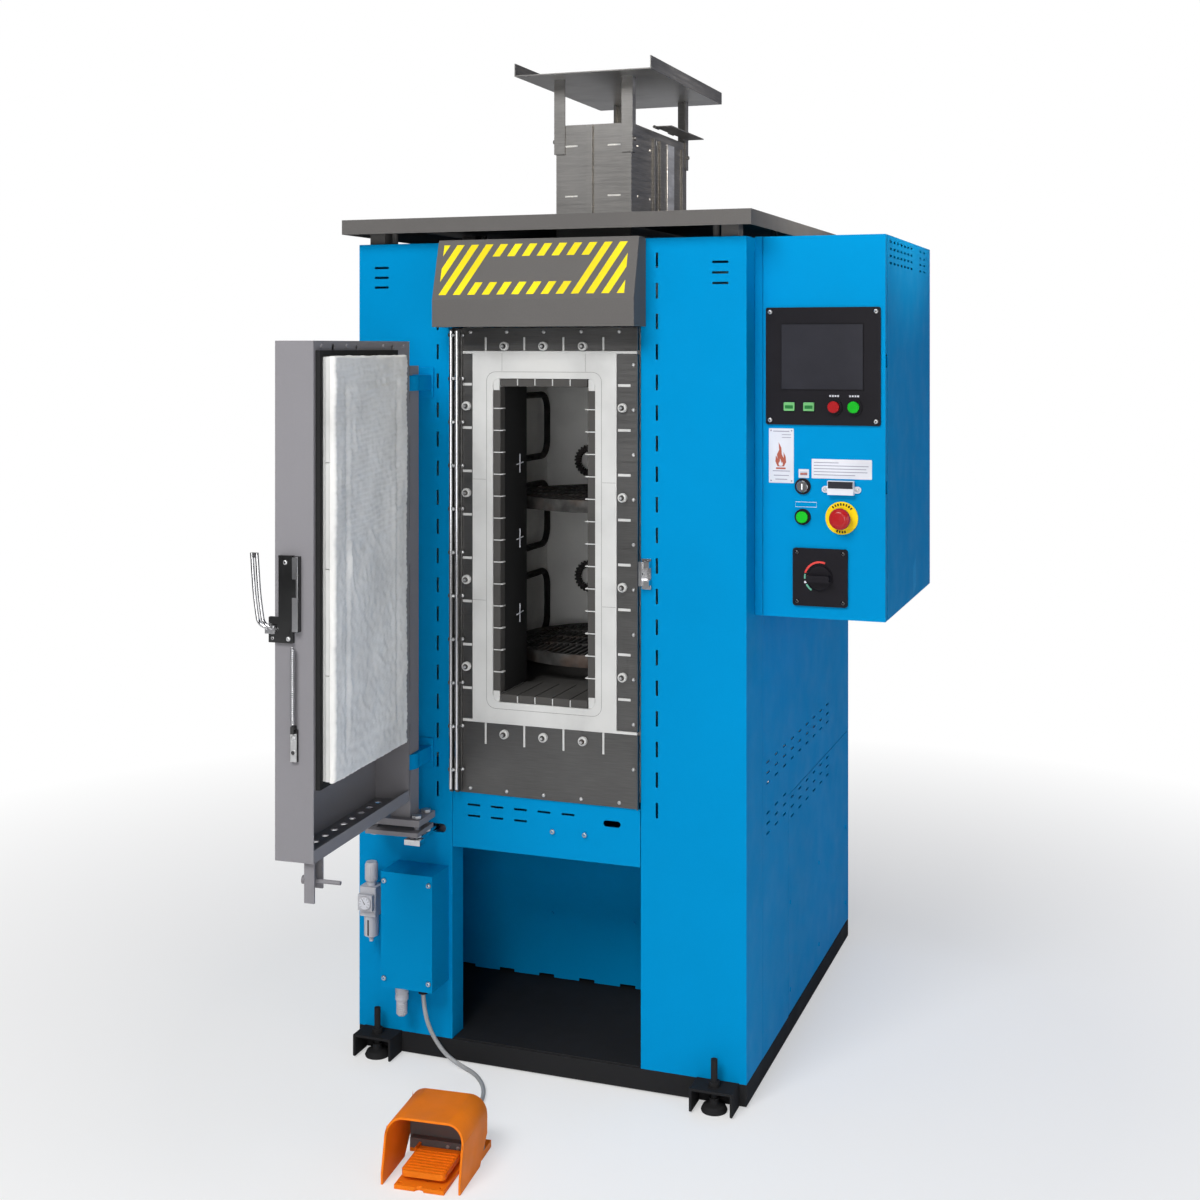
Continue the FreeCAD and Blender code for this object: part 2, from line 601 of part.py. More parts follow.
def flue():
    duct = cut(box("-flue_half", "flue_half", "flue_front", "flue_back", "cabinet_top + 0.5", "flue_top"),
               box("-flue_half + 2", "flue_half - 2", "flue_front + 2", "flue_back - 2", 1550, 1900))
    flange = cut(box("-flue_half - 20", "flue_half + 20", "flue_front - 20", "flue_back + 20",
                     "cabinet_top + 0.2", "cabinet_top + 2.5"),
                 box("-flue_half + 1", "flue_half - 1", "flue_front + 1", "flue_back - 1", 1550, 1600))
    side_gap = box(70, 90, 420, 436, 1626, 1800)
    slots = [box(x0, x1, d.flue_front - 5, d.flue_front + 5, z - 2, z + 2)
             for x0, x1 in ((-62, -34), (30, 58)) for z in (1672, 1774)]
    slots += [box(75, 90, y, y + 9, z - 2, z + 2) for y in (300, 380) for z in (1672, 1774)]
    rib = box(-14, 0, "flue_front - 7", "flue_front", "shield_top", "flue_top - 2")
    seams = [box(d.flue_half, d.flue_half + 5, y, y + 14, d.shield_top, 1800) for y in (400, 445, 600)]
    node("flue_duct", fuse(cut(fuse(duct, flange), side_gap, *slots), rib, *seams))


def rain_cap():
    """Cap sheet with its two long edges turned up, and its four angle legs."""
    t = 2.0
    outline = [(-d.cap_half, d.cap_low + d.cap_flange), (-d.cap_half, d.cap_low),
               (d.cap_half, d.cap_low), (d.cap_half, d.cap_low + d.cap_flange),
               (d.cap_half - t, d.cap_low + d.cap_flange), (d.cap_half - t, d.cap_low + t),
               (t - d.cap_half, d.cap_low + t), (t - d.cap_half, d.cap_low + d.cap_flange)]
    sheet_fold = extruded("cap_sheet", "XZ_Plane", outline, "cap_back - cap_front", offset=-d.cap_back)
    legs = []
    for s in (-1, 1):
        for front, y in ((True, d.flue_front), (False, d.flue_back)):
            x0, x1 = sorted((s * (d.flue_half + 3.5), s * (d.flue_half - 20)))
            y0, y1 = (y - 3, y) if front else (y, y + 3)
            face = box(x0, x1, y0, y1, 1758, d.cap_low)
            x2, x3 = sorted((s * (d.flue_half + 0.5), s * (d.flue_half + 3.5)))
            y2, y3 = (y - 3, y + 18) if front else (y - 18, y + 3)
            wing = box(x2, x3, y2, y3, 1758, d.cap_low)
            bolt = rod(min(s * (d.flue_half + 3.5), s * (d.flue_half + 8.5)), y2 + 10, 1785, 4, 5, "x")
            legs.append(fuse(face, wing, bolt))
    node("rain_cap", group([sheet_fold] + legs))


def draught_flap():
    """Hinged flap that closes the side opening of the flue when it drops."""
    y0, y1 = d.flue_front + 120, d.flue_back - 24
    plate = box("flap_x", "flap_x + 38", y0, y1, "flap_z - 1", "flap_z + 1")
    knuckles = [rod(d.flap_x, y, d.flap_z, 3.2, 30, "y") for y in (y0, (y0 + y1) / 2 - 15, y1 - 30)]
    node("draught_flap", fuse(plate, *knuckles))


# ---------------------------------------------------------------- control box and its door

FACE = d.control_front  # the control door's front face
LAMP_X, KEY_ROW, BUTTON_ROW = 480.0, 1114.0, 1258.0
STOP_X, STOP_Z = 551.0, 1059.0
DOOR_PIN_X, DOOR_PIN_Y, DOOR_HINGES = 622.0, 66.0, (1109.0, 1335.0)
SWITCH_X, SWITCH_Z = 512.0, 951.0


def control_box():
    shell = cut(box("cabinet_half + 0.3", "control_right", "control_front + 1", "control_back",
                    "control_low", "control_top"),
                box("cabinet_half + 2.3", "control_right - 2", "control_front + 22", "control_back - 2",
                    "control_low + 2", "control_top - 2"),
                box("panel_left - 1", "control_right + 5", "control_front - 5", "control_front + 24",
                    "control_low - 5", "control_top + 5"))
    vents = []
    for y in spaced(104, 38, 7) + [440, 490]:
        for z in (1517, 1530, 1543, 1556):
            vents.append(box(620, 640, y, y + 22, z - 2, z + 2))
    plate = box("cabinet_half + 10", "control_right - 12", "control_back - 30", "control_back - 27",
                "control_low + 30", "control_top - 30")
    eyes = []
    for z in DOOR_HINGES:
        eye = fuse(rod(DOOR_PIN_X, DOOR_PIN_Y, z - 5, 5.5, 20), box(618, 626, DOOR_PIN_Y, 95, z - 5, z + 15),
                   box(618, 628, 83, 95, z - 5, z + 15))
        eyes.append(cut(eye, rod(DOOR_PIN_X, DOOR_PIN_Y, z - 9, 3.05, 40)))
    posts = [rod(x, d.control_back - 27, z, 5, 25, "y") for x in (410, 607) for z in (920, 1520)]
    gear = [box(x, x + 50, d.control_back - 110, d.control_back - 30, z, z + 80)
            for x in (415, 480, 545) for z in (1000, 1150, 1300)]
    node("control_box", fuse(cut(shell, *vents), *eyes))
    node("switchgear", fuse(plate, *posts, *gear))


def control_door():
    """Folded door pan; its hinge line is at its right-hand front corner."""
    left, right, back = "panel_left", "control_right", "control_front + panel_thick"
    pan = cut(box(left, right, "control_front", back, "control_low + 0.5", "control_top - 0.5"),
              box("panel_left + 2", "control_right - 2", "control_front + 2", "control_front + 30",
                  "control_low + 3", "control_top - 3"))
    holes = [rod(x, FACE - 5, z, r, 12, "y") for x, z, r in (
        (LAMP_X, KEY_ROW, 6.2), (LAMP_X, STOP_Z, 11.2), (STOP_X, STOP_Z, 11.2),
        (538, BUTTON_ROW, 11.2), (574, BUTTON_ROW, 11.2), (SWITCH_X, SWITCH_Z, 11))]
    windows = [box(x - 10.2, x + 10.2, FACE - 5, FACE + 8, BUTTON_ROW - 8.2, BUTTON_ROW + 8.2)
               for x in (456, 492)]
    notches = [box(626, 630, FACE + 2, FACE + 20, z - 6, z + 17) for z in DOOR_HINGES]
    pins = [fuse(rod(DOOR_PIN_X, DOOR_PIN_Y, z - 20, 3, 38),
                 box(620, 628, DOOR_PIN_Y - 3, DOOR_PIN_Y + 3, z - 20, z - 6.5)) for z in DOOR_HINGES]
    node("control_door", fuse(cut(pan, *holes, *windows, *notches), *pins))


def panel_plates():
    """Black operator plate with its screws, and the plate of the main switch."""
    plate = rounded(box(412, 621, FACE - 4, FACE, 1225, 1437), 4, across)
    holes = [rod(x, FACE - 9, BUTTON_ROW, 11.2, 12, "y") for x in (538, 574)]
    windows = [box(x - 10.2, x + 10.2, FACE - 9, FACE + 8, BUTTON_ROW - 8.2, BUTTON_ROW + 8.2)
               for x in (456, 492)]
    screen_seat = box(440, 591, FACE - 9, FACE - 1.5, 1288, 1408)
    screws = [rod(x, FACE - 5.5, z, 3.5, 1.6, "y") for x in (420, 613) for z in (1233, 1429)]
    switch = cut(rounded(box(SWITCH_X - 50, SWITCH_X + 50, FACE - 5, FACE, SWITCH_Z - 52, SWITCH_Z + 52),
                         5, across), rod(SWITCH_X, FACE - 9, SWITCH_Z, 11, 12, "y"))
    corner_screws = [rod(SWITCH_X + x, FACE - 6.5, SWITCH_Z + z, 3.5, 1.6, "y")
                     for x in (-42, 42) for z in (-44, 44)]
    operator_plate = fuse(cut(plate, screen_seat, *holes, *windows), *screws)
    node("panel_plates", group([operator_plate, fuse(switch, *corner_screws)] + bezels()))
    node("touch_screen", box(441, 590, FACE - 5, FACE - 1.6, 1289, 1407))


def bezels():
    """Black collars of the round buttons and of the key switch."""
    collars = []
    places = ((538, BUTTON_ROW, FACE - 4, 5, 11.2), (574, BUTTON_ROW, FACE - 4, 5, 11.2),
              (LAMP_X, STOP_Z, FACE, 5, 11.2), (LAMP_X, KEY_ROW, FACE, 4, 6.3))
    for x, z, front, deep, bore in places:
        collars.append(cut(rod(x, front - deep, z, 14.5, deep, "y"),
                           rod(x, front - deep - 1, z, bore, 12, "y")))
    return collars


def push_button(label, x, z, front, cap_radius=10.5):
    """A round push-button cap on its stem."""
    profile = [(0, 9), (cap_radius - 1, 9), (cap_radius, 8), (cap_radius, 0), (6, 0), (6, -25), (0, -25)]
    node(label, facing(label, x, front, z, profile))


def small_controls():
    push_button("stop_button", 538, BUTTON_ROW, FACE - 6)
    push_button("start_button", 574, BUTTON_ROW, FACE - 6)
    push_button("lamp_button", LAMP_X, STOP_Z, FACE - 3)
    for label, x in (("left_key", 456), ("right_key", 492)):
        cap = box(x - 9.7, x + 9.7, FACE - 8, FACE + 6, BUTTON_ROW - 7.7, BUTTON_ROW + 7.7)
        node(label, rounded(cap, 1.5, across))
    disc = rod(STOP_X, FACE - 3, STOP_Z, 29.5, 3, "y")
    node("stop_ring", cut(disc, rod(STOP_X, FACE - 5, STOP_Z, 11.2, 12, "y")))
    mushroom = [(0, 30), (12, 29.5), (18, 26), (19.5, 20), (17, 15), (10.5, 13), (10.5, -24), (0, -24)]
    node("emergency_stop", facing("emergency_stop", STOP_X, FACE, STOP_Z, mushroom))
    key = [(0, 9), (9.5, 9), (10.5, 8), (10.5, 4.4), (6, 4.4), (6, -22), (0, -22)]
    slot = box(LAMP_X - 1.1, LAMP_X + 1.1, FACE - 10, FACE - 5, KEY_ROW - 5, KEY_ROW + 5)
    node("key_switch", cut(facing("key_barrel", LAMP_X, FACE, KEY_ROW, key), slot))


def main_switch():
    dial = [(0, 12), (21, 12), (23, 10), (23, 5.6), (10.5, 5.6), (10.5, -30), (0, -30)]
    grip = box(SWITCH_X - 21, SWITCH_X + 21, FACE - 28, FACE - 11, SWITCH_Z - 6, SWITCH_Z + 6)
    turned_dial = facing("switch_dial", SWITCH_X, FACE, SWITCH_Z, dial)
    node("main_switch", fuse(turned_dial, rounded(grip, 3, across)))


def panel_meter():
    """Small meter in a clear bracket with two screw eyes."""
    body = box(527, 574, FACE - 12, FACE, 1101, 1126)
    wings = [rod(x, FACE - 3, 1110, 6, 3, "y") for x in (521, 580)]
    lugs = [box(521, 528, FACE - 3, FACE, 1104, 1116), box(573, 580, FACE - 3, FACE, 1104, 1116)]
    screws = [rod(x, FACE - 5, 1110, 3, 3, "y") for x in (521, 580)]
    node("panel_meter", fuse(body, *wings, *lugs, *screws))


# ---------------------------------------------------------------- services on the left column

def junction_box():
    shell = cut(box(-304, -197, -74, 0, 155, 373), box(-302, -199, -72, 4, 157, 371))
    bolts = [rod(x, -78, z, 4, 5, "y") for x in (-297, -204) for z in (172, 356)]
    bores = [rod(-232, -40, 150, 6.5, 12), rod(-277, -40, 150, 9.5, 12)]
    node("junction_box", fuse(cut(shell, *bores), *bolts))
    gland = cut(fuse(rod(-232, -40, 139, 9, 15.9), rod(-232, -40, 155, 6.4, 8)),
                rod(-232, -40, 130, 4.05, 40))
    plug_socket = fuse(rod(-277, -40, 121, 12.5, 33.9), rod(-277, -40, 94, 10.5, 27),
                       rod(-277, -40, 154, 9.4, 8), rod(-277, -40, 91, 8, 4))
    node("cable_gland", gland)
    node("air_connector", plug_socket)


def air_regulator():
    """Filter-regulator for the door's cylinder: knob, body with gauge, bowl."""
    x, y = -343.0, -38.0
    block = rounded(box(x - 17, x + 17, y - 17, y + 17, 276, 332), 3, upright)
    neck = rod(x, y, 332, 9, 8)
    mount = box(x - 12, x + 12, y + 17, 0, 292, 320)
    gauge = fuse(box(x - 15, x + 15, y - 27, y - 17, 290, 320), cone(x, y - 30, 305, 13, 14, 4, "y"))
    ears = [rod(x - 25, y, 305, 9, 9, "x")]
    bowl = fuse(rod(x, y, 236, 14, 40), cone(x, y, 230, 5, 11, 6), rod(x, y, 224, 4, 8))
    node("air_regulator", fuse(block, neck, mount, gauge, *ears, bowl))
    profile = [(0, 0), (11, 0), (12.5, 3), (12.5, 30), (10.5, 36), (0, 36)]
    grooves = []
    for k in range(16):
        angle = math.radians(22.5 * k)
        grooves.append(rod(12.9 * math.cos(angle), 12.9 * math.sin(angle), 4, 1.0, 28))
    knob = cut(turned("knob", profile), group(grooves))
    node("regulator_knob", group([placed(knob, x, y, 340.3)]))


# ---------------------------------------------------------------- door, in its own frame

def door_shell():
    near, far, outer, inner = "door_near", "door_far", "door_outer", "door_inner"
    pan = box(near, far, outer, inner, "door_low", "door_top")
    hollow = box("door_near + door_sheet", "door_far - door_sheet", "door_outer + door_sheet",
                 "door_inner - door_sheet", "door_low - 5", "door_top - door_sheet")
    skirt = box("door_near + door_sheet", "door_far - door_sheet", 10, 40, "door_low - 5", 636)
    holes = [rod(x, y, d.door_top - 10, 5, 20) for x in (90, 210, 340) for y in (-2,)]
    face_holes = [rod(x, 15, d.door_top - 11, r, 20, "y") for x, r in ((110, 4), (260, 4), (350, 6))]
    shell = cut(pan, hollow, skirt, *holes, *face_holes)
    screws = [rod(x, d.door_inner, d.door_top - 9, 3.6, 2.5, "y") for x in (60, 150, 300, 395)]
    node("door_shell", fuse(shell, *screws), "door")


def door_gasket():
    outer = box("block_near - 9", "block_far + 11", "door_inner", "door_inner + 8",
                "block_low - 11", "block_top + 10")
    inner = box("block_near - 0.4", "block_far + 0.4", 20, 50, "block_low - 0.4", "block_top + 0.4")
    node("door_gasket", cut(outer, inner), "door")


def door_block():
    """Ceramic-fibre block that closes the mouth."""
    block = box("block_near", "block_far", "door_inner", "block_face", "block_low", "block_top")
    node("door_block", rounded(block, 4, across), "door")


def door_tray():
    """Perforated tray in the foot of the door, with the stop leg and its pin below."""
    plate = box("door_near + 3", "door_far - 3", "door_outer + 3", "door_inner",
                "door_low", "door_low + 2.5")
    lip = box("door_near + 3", "door_far - 3", "door_inner - 2.5", "door_inner", "door_low", "door_low + 21")
    holes = [rod(x, y, d.door_low - 5, 6.5, 12) for x in spaced(64, 36, 10) for y in (-26, 2)]
    legs = [box(409, 413, 2, 20, 449, "door_low"), box(378, 382, 2, 20, 465, "door_low"),
            box(378, 413, 2, 5, 468, "door_low")]
    pin = fuse(rod(396, -6, 482, 3.5, 66, "y"), rod(396, -9, 482, 7, 5, "y"), rod(396, 6, 482, 7, 5, "y"))
    node("door_tray", group([cut(fuse(plate, lip), *holes), fuse(*legs, pin)]), "door")


def hinge_post():
    """Square post on the hinge line: journals in the brackets, arms to the door, crank plate below."""
    square = [box(-20, 20, -20, 20, z0, z1) for z0, z1 in ((484, 571.5), (601.5, 1282.5), (1313.5, 1330))]
    journals = [rod(0, 0, z, "journal", 32) for z in (570.5, 1282)]
    arms = [box(20, "door_near", -20, 20, z, z + 60) for z in (660, 960, 1200)]
    top_plate = box(-38, 38, -88, 46, 472, 484)
    low_plate = box(-30, 46, -60, 46, 455, 463)
    bolts = [rod(x, y, 450, 5, 30) for x in (-22, 22) for y in (-50, 34)]
    heads = [rod(x, y, z, 8.5, 6) for x in (-22, 22) for y in (-50, 34) for z in (449, 484)]
    angle = math.radians(d.door_open / 2)
    pin = rod(d.crank * math.cos(angle), d.crank * math.sin(angle), 437, 4, 20)
    node("hinge_post", fuse(*square, *journals, *arms, top_plate, low_plate, *bolts, *heads, pin), "door")


def hinge_brackets():
    """Blue arms of the left column that carry the post's journals."""
    arms = []
    for z in (572, 1283):
        arm = fuse(rod("hinge_x", "hinge_y", z, 28, 29),
                   box("hinge_x - 26", "hinge_x + 26", "hinge_y", 0, z, z + 29),
                   box("hinge_x - 26", "hinge_x + 30", -4, 0, z - 14, z + 43))
        arms.append(cut(arm, rod("hinge_x", "hinge_y", z - 5, "journal + 0.05", 45)))
    node("hinge_brackets", group(arms))


def door_opener():
    """Pneumatic cylinder in the column; its rod ends in a slotted yoke round the crank pin."""
    reach = d.crank * math.sin(math.radians(d.door_open / 2))
    pin_y = d.hinge_y - reach
    yoke = cut(box("rod_x - 16", "rod_x + 16", pin_y - 11, pin_y + 11, "rod_z - 5", "rod_z + 5"),
               box("rod_x - 10.8", "rod_x + 10.8", pin_y - 5.4, pin_y + 5.4, 400, 480))
    node("opener_rod", fuse(yoke, rod("rod_x", pin_y + 10.5, "rod_z", 5, 215, "y")))
    barrel = cut(rod("rod_x", 30, "rod_z", 17, 230, "y"), rod("rod_x", 20, "rod_z", 5.06, 235, "y"))
    feet = [box(d.rod_x - 20, d.rod_x + 20, y, y + 8, d.rod_z - 28, d.rod_z + 20) for y in (34, 236)]
    bore = rod("rod_x", 20, "rod_z", 5.06, 235, "y")
    rail = box("rod_x - 20", "rod_x + 20", 30, 250, "rod_z - 31", "rod_z - 26")
    node("door_cylinder", cut(fuse(barrel, *feet, rail), bore))


LEVER_Y, LEVER_Z = -45.0, 900.0


def latch():
    """Toggle latch on the door's free edge, with its return spring."""
    edge = d.door_far
    base = box(edge, edge + 7, -54, -10, 879, 921)
    body = box(edge, edge + 9, -35, -10, 921, 1023)
    strip = box(edge, edge + 12, -9, 2, 898, 1022)
    screws = [rod(edge + 6, y, 886, 3.6, 1.2, "x") for y in (-47, -18)]
    screws.append(rod(edge + 8, -22, 1012, 3.6, 3, "x"))
    keep = box(edge, edge + 14, -10, -1, 955, 985)
    anchor = fuse(box(edge, edge + 6, -15, -3, 684, 737), rod(edge + 3, -9, 700, 3.2, 6, "x"),
                  box(edge, edge + 12, -12, -6, 731, 743.5))
    node("latch_base", group([fuse(base, body, strip, keep, *screws), anchor]), "door")
    pivot = rod(edge + 7.5, LEVER_Y, LEVER_Z, 6, 5.5, "x")
    route = [(edge + 10.6, y, z) for y, z in ((-44, 902), (-62, 910), (-69, 955), (-74, 1026))]
    handle = tube_along(route_wire(route), 3.2, "lever_bar")
    fork = tube_along(route_wire([(x, y - 9, z) for x, y, z in route]), 3.0, "fork_bar")
    link = box(edge + 7.5, edge + 12.5, -58, -40, 894, 908)
    tip = box(edge + 7.2, edge + 12.8, -84, -72, 1018, 1026)
    node("latch_lever", fuse(pivot, link, handle, fork, tip), "door")
    spring = rod(edge + 9, -9, 744, 4.5, 130)
    node("latch_spring", spring, "door")


def keeper():
    """Catch plate on the right column that the latch pulls against."""
    plate = box(193, 211, -4, 0, 922, 978)
    hook = fuse(box(193, 211, -16, -4, 962, 974), box(193, 199, -22, -4, 930, 974),
                box(193, 211, -16, -4, 930, 940))
    screws = [rod(206, -6, z, 3, 3, "y") for z in (926.5, 950)]
    node("keeper", fuse(plate, hook, *screws))


# ---------------------------------------------------------------- foot switch, in its own frame

def foot_switch():
    """Guard with a grey wall inside, base with the housing behind it, and the pedal on its axle."""
    outer = rounded(box("-foot_half", "foot_half", 0, "guard_long", -30, "guard_top"), 30,
                    lambda e: across(e) and e.BoundBox.ZMin > 50)
    inner = rounded(box("-foot_half + 4", "foot_half - 4", -5, "guard_long + 5", -40, "guard_top - 4"), 26,
                    lambda e: across(e) and e.BoundBox.ZMin > 50)
    rake = extruded("guard_rake", "YZ_Plane", [(-5, 0), (-5, 130), (30, 130)], 200, both=True)
    heel = extruded("guard_heel", "YZ_Plane", [(96, -1), (150, -1), (150, 50), (130, 36)], 200, both=True)
    guard = cut(outer, inner, box(-90, 90, -5, 160, -40, 0), rake, heel)
    node("foot_guard", guard, "foot")
    base = fuse(box(-43, 43, -6, "foot_long - 10", 0, 7), box(-64.5, 64.5, 118, "foot_long - 10", 0, 12))
    mount_holes = [rod(x, 3, -5, 3.5, 20) for x in (-36, 36)]
    notch = rod(0, -8, -5, 8, 20)
    ears = [box(x0, x1, 84, 106, 6, 24) for x0, x1 in ((-42.9, -38.4), (38.4, 42.9))]
    housing = rounded(box(-52, 52, "guard_long + 0.6", "foot_long", 6, 62), 8, upright)
    screws = [rod(x, 150, 62, 3.5, 1.5) for x in (-40, 40)]
    collar = rod(12, d.foot_long, 26, 9, 10, "y")
    rear_entry = rod(12, d.foot_long - 20, 26, 4.05, 40, "y")
    node("foot_base", cut(fuse(base, *ears, housing, collar, *screws), *mount_holes, notch, rear_entry), "foot")
    wall = rounded(box("-foot_half + 4.6", "foot_half - 4.6", 120, "guard_long", 12.1, "guard_top - 4.6"), 26,
                   lambda e: across(e) and e.BoundBox.ZMin > 50)
    wall_screws = [rod(x, 118.6, 50, 3, 2, "y") for x in (8, 26)]
    node("foot_case", fuse(wall, *wall_screws), "foot")
    tread = rounded(box(-38, 38, 9, 88, 14.5, 24), 9, upright)
    ribs = [box(-35, 35, y, y + 3, 24, 25.6) for y in spaced(15, 9, 8)]
    web = box(-37.5, 37.5, 80, 98, 12.5, 22)
    axle = rod(-38, 95, 17.5, 4.5, 76, "x")
    node("foot_pedal", fuse(tread, web, axle, *ribs), "foot")


def foot_cable():
    """Grey cable from the gland down to the floor and round to the back of the foot switch."""
    turn = math.radians(d.foot_turn)
    local_x, local_y = 12.0, d.foot_long + 10
    end_x = d.foot_x + local_x * math.cos(turn) - local_y * math.sin(turn)
    end_y = d.foot_y + local_x * math.sin(turn) + local_y * math.cos(turn)
    route = [(-232, -40, 139), (-230, -40, 106), (-218, -34, 62), (-194, -22, 20), (-160, -24, 4.6),
             (-120, -46, 4.2), (-88, -84, 4.6), (-70, -122, 4.2), (-62, -160, 4.6),
             (-48, -204, 8), (end_x - 3, end_y + 34, 20), (end_x, end_y, 26)]
    cable = tube_along(route_wire(route), 4.0, "foot_cable")
    node("foot_cable", cable)


# ---------------------------------------------------------------- build, check, write

def build():
    base_frame()
    levelling_feet()
    opener_slot = fuse(*(rod(d.rod_x + x, -5, d.rod_z, 8, 15, "y") for x in (-12, 12)),
                       box(d.rod_x - 12, d.rod_x + 12, -5, 10, d.rod_z - 8, d.rod_z + 8))
    column("left_column", -1, -221, [opener_slot])
    column("right_column", 1, 221, [])
    cabinet_panels()
    crossbar()
    bay_liner()
    front_plates()
    front_fasteners()
    ceramic_washers()
    ceramic_frame()
    refractory()
    chamber_insulation()
    heating_elements()
    shelf("lower_shelf", d.lower_shelf_z)
    shelf("upper_shelf", d.upper_shelf_z)
    turntable_shaft()
    drive_motor()
    hood()
    heat_shield()
    flue()
    rain_cap()
    draught_flap()
    control_box()
    control_door()
    panel_plates()
    small_controls()
    main_switch()
    panel_meter()
    junction_box()
    air_regulator()
    door_shell()
    door_gasket()
    door_block()
    door_tray()
    hinge_post()
    hinge_brackets()
    door_opener()
    latch()
    keeper()
    foot_switch()
    foot_cable()
    doc.recompute()


def check():
    failed = [o.Name for o in doc.Objects if {"Invalid", "Error"} & set(o.State)]
    if failed:
        raise RuntimeError(f"failed objects: {failed}")
    for piece in nodes:
        if piece.Shape.isNull() or not piece.Shape.isValid():
            raise RuntimeError(f"{piece.Label} has no valid shape")
        if not piece.Shape.Solids or min(s.Volume for s in piece.Shape.Solids) <= 0:
            raise RuntimeError(f"{piece.Label} has no solid")
    whole = FreeCAD.BoundBox()
    for piece in nodes:
        if piece.Label != "foot_cable":
            whole.add(piece.Shape.BoundBox)
    print("nodes", len(nodes), "box", whole)
    print("off centre", round(whole.Center.x, 2), round(whole.Center.y, 2), "lowest", round(whole.ZMin, 3))


build()
check()
os.makedirs("parts", exist_ok=True)
for piece in nodes:
    piece.Shape.exportStep(f"parts/{piece.Label}.step")
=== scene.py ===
"""Looks of a rotary burnout furnace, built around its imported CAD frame. Metres, +Z up, -Y to the front."""
import json
import math

import bmesh
import bpy
from mathutils import Matrix, Vector, noise


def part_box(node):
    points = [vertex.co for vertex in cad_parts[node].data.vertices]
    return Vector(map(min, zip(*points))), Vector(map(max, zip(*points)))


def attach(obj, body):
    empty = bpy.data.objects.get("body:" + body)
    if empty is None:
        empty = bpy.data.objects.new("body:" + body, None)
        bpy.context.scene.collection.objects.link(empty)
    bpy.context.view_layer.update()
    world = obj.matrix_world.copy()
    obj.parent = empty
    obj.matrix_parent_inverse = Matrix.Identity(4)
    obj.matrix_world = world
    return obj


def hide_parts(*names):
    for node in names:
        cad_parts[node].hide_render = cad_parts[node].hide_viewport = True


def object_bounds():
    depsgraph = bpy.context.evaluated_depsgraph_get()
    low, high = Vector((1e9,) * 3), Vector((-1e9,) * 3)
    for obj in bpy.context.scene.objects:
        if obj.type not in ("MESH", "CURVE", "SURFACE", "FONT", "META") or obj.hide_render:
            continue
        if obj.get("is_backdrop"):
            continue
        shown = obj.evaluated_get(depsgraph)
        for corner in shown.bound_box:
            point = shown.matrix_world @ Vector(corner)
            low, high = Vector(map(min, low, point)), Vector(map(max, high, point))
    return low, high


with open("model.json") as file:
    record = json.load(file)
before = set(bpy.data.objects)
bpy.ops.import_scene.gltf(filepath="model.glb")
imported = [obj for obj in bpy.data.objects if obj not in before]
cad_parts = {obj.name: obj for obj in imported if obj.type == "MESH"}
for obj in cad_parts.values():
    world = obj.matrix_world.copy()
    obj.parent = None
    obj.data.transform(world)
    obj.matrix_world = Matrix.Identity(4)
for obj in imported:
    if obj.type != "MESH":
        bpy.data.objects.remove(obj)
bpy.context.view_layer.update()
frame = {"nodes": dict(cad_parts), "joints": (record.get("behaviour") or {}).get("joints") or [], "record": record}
NODES, RECORD = frame["nodes"], frame["record"]
JOINTS = {j["name"]: j for j in frame["joints"]}
SLOT_OF = {s["node"]: s["material_slot"] for s in RECORD["subparts"]}
MM = 0.001

# ---------------------------------------------------------------- places, from the frame

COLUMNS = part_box("left_column")[0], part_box("right_column")[1]
AT_CABINET = Matrix.Translation(((COLUMNS[0].x + COLUMNS[1].x) / 2, COLUMNS[0].y, 0))
HINGE = Vector(JOINTS["door_swing"]["pos_m"])
DOOR_OPEN = math.radians(JOINTS["door_swing"]["range_deg"][1])
AT_DOOR = Matrix.Translation((HINGE.x, HINGE.y, 0)) @ Matrix.Rotation(-DOOR_OPEN, 4, "Z")
PEDAL = JOINTS["pedal_press"]
PEDAL_AXLE = Vector((0, 95, 17.5)) * MM
AT_FOOT = (Matrix.Translation(PEDAL["pos_m"])
           @ Matrix.Rotation(math.atan2(PEDAL["axis"][1], PEDAL["axis"][0]), 4, "Z")
           @ Matrix.Translation(-PEDAL_AXLE))


def local_points(node, place):
    """A CAD node's corners in the millimetres of a drawing frame."""
    back = place.inverted()
    return [(back @ v.co) / MM for v in NODES[node].data.vertices]


def span_of(points):
    return (Vector(min(p[k] for p in points) for k in range(3)),
            Vector(max(p[k] for p in points) for k in range(3)))


def local_box(node, place=AT_CABINET):
    return span_of(local_points(node, place))


def solids_of(node):
    """The box of each separate solid of a node, in the cabinet's millimetres."""
    points = local_points(node, AT_CABINET)
    same, lead = {}, list(range(len(points)))

    def root(k):
        while lead[k] != k:
            lead[k] = lead[lead[k]]
            k = lead[k]
        return k

    for k, p in enumerate(points):
        first = same.setdefault(tuple(round(c, 2) for c in p), k)
        lead[root(k)] = root(first)
    for edge in NODES[node].data.edges:
        lead[root(edge.vertices[0])] = root(edge.vertices[1])
    parts = {}
    for k, p in enumerate(points):
        parts.setdefault(root(k), []).append(p)
    boxes = [span_of(part) for part in parts.values()]
    return sorted(boxes, key=lambda b: (round(b[0].x), round(b[0].y), round(b[0].z)))


# ---------------------------------------------------------------- materials

